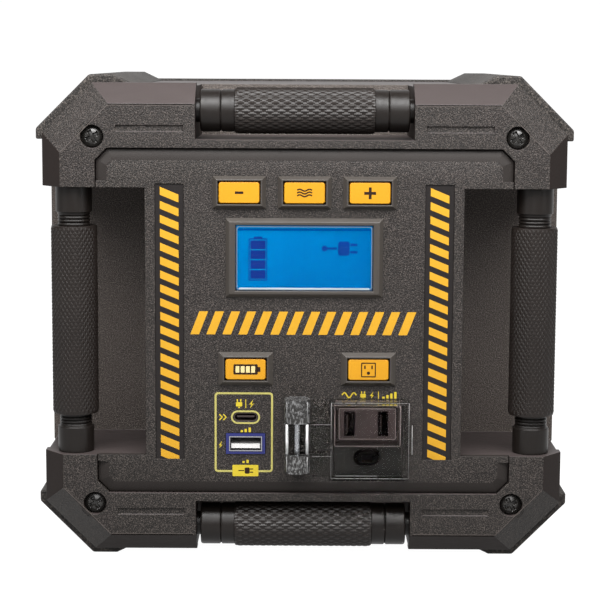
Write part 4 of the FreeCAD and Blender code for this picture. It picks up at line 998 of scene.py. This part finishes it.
def make_outlet():
    better_copy("outlet_receptacle", "outlet", "outlet_plastic", width=0.2 * MM,
                faces=outlet_face)
    face_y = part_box("outlet_receptacle")[0].y
    # painted highlights: pale rings along the steps of the receptacle's face
    edges = Print("outlet_step_painted_highlights", face_y)
    edges.ring(round_box(11.7, 36.9, -46.8, -30.6, 0.5, 3),
               round_box(12.05, 36.55, -46.5, -30.95, 0.4, 3))
    edges.ring(round_box(13.4, 35.0, -44.0, -32.0, 0.4, 3),
               round_box(13.65, 34.75, -43.75, -32.25, 0.3, 3))
    edges.finish("outlet_edge", "outlet_plastic")
    shade = Print("outlet_shadows", face_y)
    shade.ring(round_box(13.05, 35.35, -44.35, -31.65, 0.4, 3),
               round_box(13.35, 35.05, -44.05, -31.95, 0.4, 3))
    for x in (17.3, 30.2):
        shade.ring(round_box(x - 1.95, x + 1.95, -42.7, -33.2, 0.3, 3),
                   round_box(x - 0.95, x + 0.95, -41.2, -34.4, 0.2, 3))
    shade.ring(stadium(24.0, -51.0, 10.0, 6.0), stadium(24.5, -51.0, 7.9, 4.4))
    shade.finish("outlet_shade", "outlet_plastic")


def rod(name, start, end, radius, body, material="clear_edge"):
    """A thin painted highlight on the clear cover, round in section."""
    way = Vector(end) - Vector(start)
    form = bmesh.new()
    turn = way.to_track_quat("Z", "Y").to_matrix().to_4x4()
    place = Matrix.Translation((Vector(start) + Vector(end)) / 2) @ turn
    bmesh.ops.create_cone(form, cap_ends=True, segments=12, radius1=radius,
                          radius2=radius, depth=way.length, matrix=place)
    mesh = mesh_of(form, name)
    for face in mesh.polygons:
        face.use_smooth = len(face.vertices) == 4
    return settle(new_piece(name, mesh, material), body, "clear_cover")


def make_knuckle_highlights():
    """Painted highlights on the hinge: two upright glints and a rim at each joint."""
    centre = middle("cover_hinge_pin")
    knuckle = 4.75 * MM
    inner = knuckle - 0.35 * MM
    half = 0.13 * MM
    for side, name in ((-1, "left"), (1, "right")):
        x = centre.x + side * 3.75 * MM
        y = centre.y - 2.9 * MM
        rod(f"knuckle_glint_{name}", (x, y, MID_Z - 48.7 * MM), (x, y, MID_Z - 37.4 * MM),
            0.55 * MM, "outlet_cover", "glint")
        for index, (low, high) in enumerate(((-36.4, -28.6), (-55.6, -49.8))):
            rod(f"bracket_glint_{name}_{index}", (x, y, MID_Z + low * MM),
                (x, y, MID_Z + high * MM), 0.22 * MM, CASE, "knuckle_edge")
    for index, level in enumerate((-28.25, -36.75, -49.4, -55.95)):
        rim = turned(f"knuckle_highlight_rim_{index}",
                     [(-half, inner), (-half, knuckle), (half, knuckle), (half, inner)],
                     Vector((centre.x, centre.y, MID_Z + level * MM)), "knuckle_edge")
        settle(rim, CASE, "clear_cover")


def make_cover_highlights():
    """Fine painted highlights where the clear cover's walls and arm turn a corner."""
    low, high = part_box("outlet_cover")
    front = low.y + 0.12 * MM
    thin = 0.09 * MM
    left = 10.4 * MM
    right = 39.6 * MM
    top = MID_Z - 28.75 * MM
    foot = MID_Z - 57.6 * MM
    lines = {
        "top": ((left, front, top), (right, front, top)),
        "foot": ((left, front, foot), (right, front, foot)),
        "left": ((left, front, foot), (left, front, top)),
        "right": ((right, front, foot), (right, front, top)),
        "step": ((12.0 * MM, front, MID_Z - 56.6 * MM), (28.0 * MM, front, MID_Z - 56.6 * MM)),
        "arm_high": ((3.3 * MM, front, MID_Z - 37.0 * MM), (left, front, MID_Z - 37.0 * MM)),
        "arm_low": ((3.3 * MM, front, MID_Z - 49.2 * MM), (left, front, MID_Z - 49.2 * MM)),
    }
    for name, (start, end) in lines.items():
        rod(f"cover_highlight_line_{name}", start, end, thin, "outlet_cover")
    lip = high.x - 0.3 * MM
    rod("cover_lip_highlight_line", (lip, low.y + 1.2 * MM, MID_Z - 48.6 * MM),
        (lip, low.y + 1.2 * MM, MID_Z - 37.4 * MM), 0.15 * MM, "outlet_cover", "knuckle_edge")


def make_hinge_highlights():
    make_knuckle_highlights()
    make_cover_highlights()


# --- screws ---


def screw_recipe():
    """Four domed screws with a cross pressed into each head, and their shanks."""
    recipe = Recipe("cross_head_screws", Radius=0.00375, Dome=0.0013, Slot=0.0015,
                    Reach=0.0026, Deep=0.0012, Wide=0.1592, Tall=0.14, Shank=0.04,
                    Turn=(0.0, 0.0, 0.0), Centre=(0.0, 0.0, 0.0), Finish="screw")
    add = recipe.add
    do = recipe.math
    given = recipe.given
    thick = 0.001
    top_level = 0.0004
    slot_wall = 0.0003
    cross_turn = 0.5
    head = add("GeometryNodeMeshCylinder", {
        "Vertices": 48, "Side Segments": 2, "Fill Segments": 16,
        "Radius": given("Radius"), "Depth": thick}, fill_type="TRIANGLE_FAN")
    spot = add("ShaderNodeSeparateXYZ", {0: add("GeometryNodeInputPosition").outputs[0]})
    across = do("ABSOLUTE", spot.outputs["X"])
    along = do("ABSOLUTE", spot.outputs["Y"])
    square = do("ADD", do("MULTIPLY", across, across), do("MULTIPLY", along, along))
    far = do("DIVIDE", do("SQRT", square), given("Radius"))
    dome = do("MULTIPLY", do("SUBTRACT", 1.0, do("MULTIPLY", far, far)), given("Dome"))
    inside = do("DIVIDE", do("SUBTRACT", do("DIVIDE", given("Slot"), 2.0),
                             do("MINIMUM", across, along)), slot_wall)
    before_end = do("DIVIDE", do("SUBTRACT", given("Reach"), do("MAXIMUM", across, along)),
                    slot_wall)
    cut = do("MAXIMUM", 0.0, do("MINIMUM", 1.0, do("MINIMUM", inside, before_end)))
    rise = do("SUBTRACT", dome, do("MULTIPLY", cut, given("Deep")))
    is_top = do("GREATER_THAN", spot.outputs["Z"], top_level)
    lift = add("ShaderNodeCombineXYZ", {0: 0.0, 1: 0.0, 2: do("MULTIPLY", rise, is_top)})
    domed = add("GeometryNodeSetPosition", {"Geometry": head.outputs["Mesh"],
                                            "Offset": lift.outputs[0]})
    shank = add("GeometryNodeMeshCylinder", {
        "Vertices": 24, "Radius": 0.0019, "Depth": given("Shank")})
    down = add("ShaderNodeCombineXYZ",
               {0: 0.0, 1: 0.0, 2: do("MULTIPLY", given("Shank"), -0.5)})
    lowered = add("GeometryNodeTransform", {"Geometry": shank.outputs["Mesh"],
                                            "Translation": down.outputs[0]})
    whole = add("GeometryNodeJoinGeometry")
    recipe.tree.links.new(lowered.outputs[0], whole.inputs[0])
    recipe.tree.links.new(domed.outputs[0], whole.inputs[0])
    spots = add("GeometryNodeMeshGrid", {
        "Size X": given("Wide"), "Size Y": given("Tall"), "Vertices X": 2, "Vertices Y": 2})
    copies = add("GeometryNodeInstanceOnPoints", {
        "Points": spots.outputs["Mesh"], "Instance": whole.outputs[0],
        "Rotation": (0.0, 0.0, cross_turn)})
    placed = add("GeometryNodeTransform", {
        "Geometry": copies.outputs[0], "Translation": given("Centre"),
        "Rotation": given("Turn")})
    recipe.end(placed.outputs[0])
    return recipe


def make_screws():
    recipe = screw_recipe()
    low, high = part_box("front_case_screws")
    front = recipe.grow("front_cross_screws", Shank=high.y - low.y - 2 * MM,
                        Turn=(math.pi / 2, 0.0, 0.0),
                        Centre=(0.0, low.y + 1.4 * MM, MID_Z), Finish="screw")
    settle(front, CASE, "black_screws", "front_case_screws")
    low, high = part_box("rear_case_screws")
    rear = recipe.grow("rear_cross_screws", Shank=high.y - low.y - 2 * MM,
                       Turn=(-math.pi / 2, 0.0, 0.0),
                       Centre=(0.0, high.y - 1.4 * MM, MID_Z), Finish="screw")
    settle(rear, CASE, "black_screws", "rear_case_screws")


# --- finishes of the CAD parts that stay ---

KEPT = {
    "case_plastic": "case_grain", "black_screws": "screw", "grip_metal": "ferrule",
    "display_glass": "display", "clear_lens": "lens", "inlay_black": "inlay",
    "port_steel": "steel", "port_blue": "socket_blue", "port_white": "socket_white",
    "outlet_plastic": "outlet", "contact_brass": "contact", "clear_cover": "clear",
    "pin_steel": "steel", "board_green": "board", "switch_black": "black_part",
    "cell_can": "cell", "nickel": "steel", "core_iron": "iron", "heatsink_metal": "alloy",
    "motor_steel": "steel", "gland_black": "gland",
}
# painted shade: the USB-C shell is darkened for the shade inside its socket
OWN_FINISH = {"usb_c_port": "dull_steel", "cover_hinge_bracket": "clear_knuckle"}


def coat_kept_nodes():
    """Coat each CAD node that is still shown with its slot's finish, or with its own."""
    slots = {part["node"]: part["material_slot"] for part in frame["record"]["subparts"]}
    for name, node in NODES.items():
        finish = FINISHES[KEPT[slots[name]]] if slots[name] in KEPT else None
        finish = FINISHES[OWN_FINISH[name]] if name in OWN_FINISH else finish
        if node.hide_render or finish is None:
            continue
        node.data.materials.clear()
        node.data.materials.append(finish)


# --- studio ---


def glowing_finish(name, colour, glow):
    """A stage finish that holds its own white, so that shadows on it stay faint."""
    finish = Finish(name, colour, 0.95)
    cloud = finish.noise(2.0, 2.0, 0.5)
    finish.colour(finish.blend(cloud, colour, scaled(colour, 0.97)))
    finish.shader.inputs["Emission Color"].default_value = (1, 1, 1, 1)
    finish.shader.inputs["Emission Strength"].default_value = glow
    return finish.material


def make_stage():
    """A pale floor that sweeps up into a wall well behind the pack."""
    form = bmesh.new()
    reach = 6.0
    wall_foot = 2.2
    wall_top = 5.0
    radius = 0.8
    steps = 12
    profile = [(-reach, 0.0), (wall_foot, 0.0)]
    for i in range(1, steps + 1):
        angle = math.radians(90 * i / steps)
        profile.append((wall_foot + radius * math.sin(angle), radius * (1 - math.cos(angle))))
    profile.append((wall_foot + radius, wall_top))
    rows = [[form.verts.new((x, y, z)) for x in (-reach, reach)] for y, z in profile]
    for a, b in zip(rows, rows[1:]):
        form.faces.new((a[0], a[1], b[1], b[0]))
    mesh = mesh_of(form, "studio_sweep")
    sweep = bpy.data.objects.new("studio_sweep", mesh)
    bpy.context.scene.collection.objects.link(sweep)
    mesh.materials.append(glowing_finish("studio_white", (0.08, 0.08, 0.08), 0.99))
    for face in mesh.polygons:
        face.use_smooth = True


def area_light(name, spot, target, size, watts):
    lamp = bpy.data.lights.new(name, "AREA")
    lamp.shape = "RECTANGLE"
    lamp.size, lamp.size_y = size
    lamp.energy = watts
    holder = bpy.data.objects.new(name, lamp)
    bpy.context.scene.collection.objects.link(holder)
    way = Vector(target) - Vector(spot)
    holder.location = spot
    holder.rotation_euler = way.to_track_quat("-Z", "Y").to_euler()


def make_lights():
    world = bpy.data.worlds.new("studio_air")
    world.use_nodes = True
    air = world.node_tree.nodes["Background"]
    air.inputs["Color"].default_value = (1, 1, 1, 1)
    air.inputs["Strength"].default_value = 0.06
    bpy.context.scene.world = world
    area_light("top_softbox", (0.0, -0.29, 0.45), (0, -0.07, 0.12), (0.9, 0.2), 13.4)
    area_light("front_fill", (0.0, -1.0, 0.62), (0, 0, 0.09), (0.9, 0.5), 9.2)
    for side in (-1, 1):
        area_light("side_strip", (0.8 * side, -0.62, 0.22), (0.08 * side, -0.07, 0.09),
                   (0.03, 0.6), 0.9)
    scene = bpy.context.scene
    scene.view_settings.view_transform = "Standard"
    scene.view_settings.look = "None"


CAMERA_DISTANCE = 700 * MM
CAMERA_RISE = math.radians(7.4)
CAMERA_ROLL = math.radians(0.28)
CAMERA_TARGET = Vector((-1.535 * MM, PANEL_Y, MID_Z + 8.86 * MM))


def make_camera():
    """A long lens a little above the middle of the panel, level but for a slight roll."""
    lens = bpy.data.cameras.new("studio_camera")
    lens.lens = 111.3
    lens.sensor_width = 36
    lens.clip_start = 0.01
    camera = bpy.data.objects.new("studio_camera", lens)
    bpy.context.scene.collection.objects.link(camera)
    back = Vector((0, -math.cos(CAMERA_RISE), math.sin(CAMERA_RISE)))
    right = Vector((0, 0, 1)).cross(back).normalized()
    up = back.cross(right)
    rolled_right = right * math.cos(CAMERA_ROLL) + up * math.sin(CAMERA_ROLL)
    rolled_up = up * math.cos(CAMERA_ROLL) - right * math.sin(CAMERA_ROLL)
    turn = Matrix((rolled_right, rolled_up, back)).transposed().to_4x4()
    camera.matrix_world = Matrix.Translation(CAMERA_TARGET + back * CAMERA_DISTANCE) @ turn
    bpy.context.scene.camera = camera


make_case()
make_grips()
make_keys()
make_display()
make_stripes()
make_port_marks()
make_outlet_marks()
make_outlet()
make_hinge_highlights()
make_screws()
coat_kept_nodes()
make_stage()
make_lights()
make_camera()
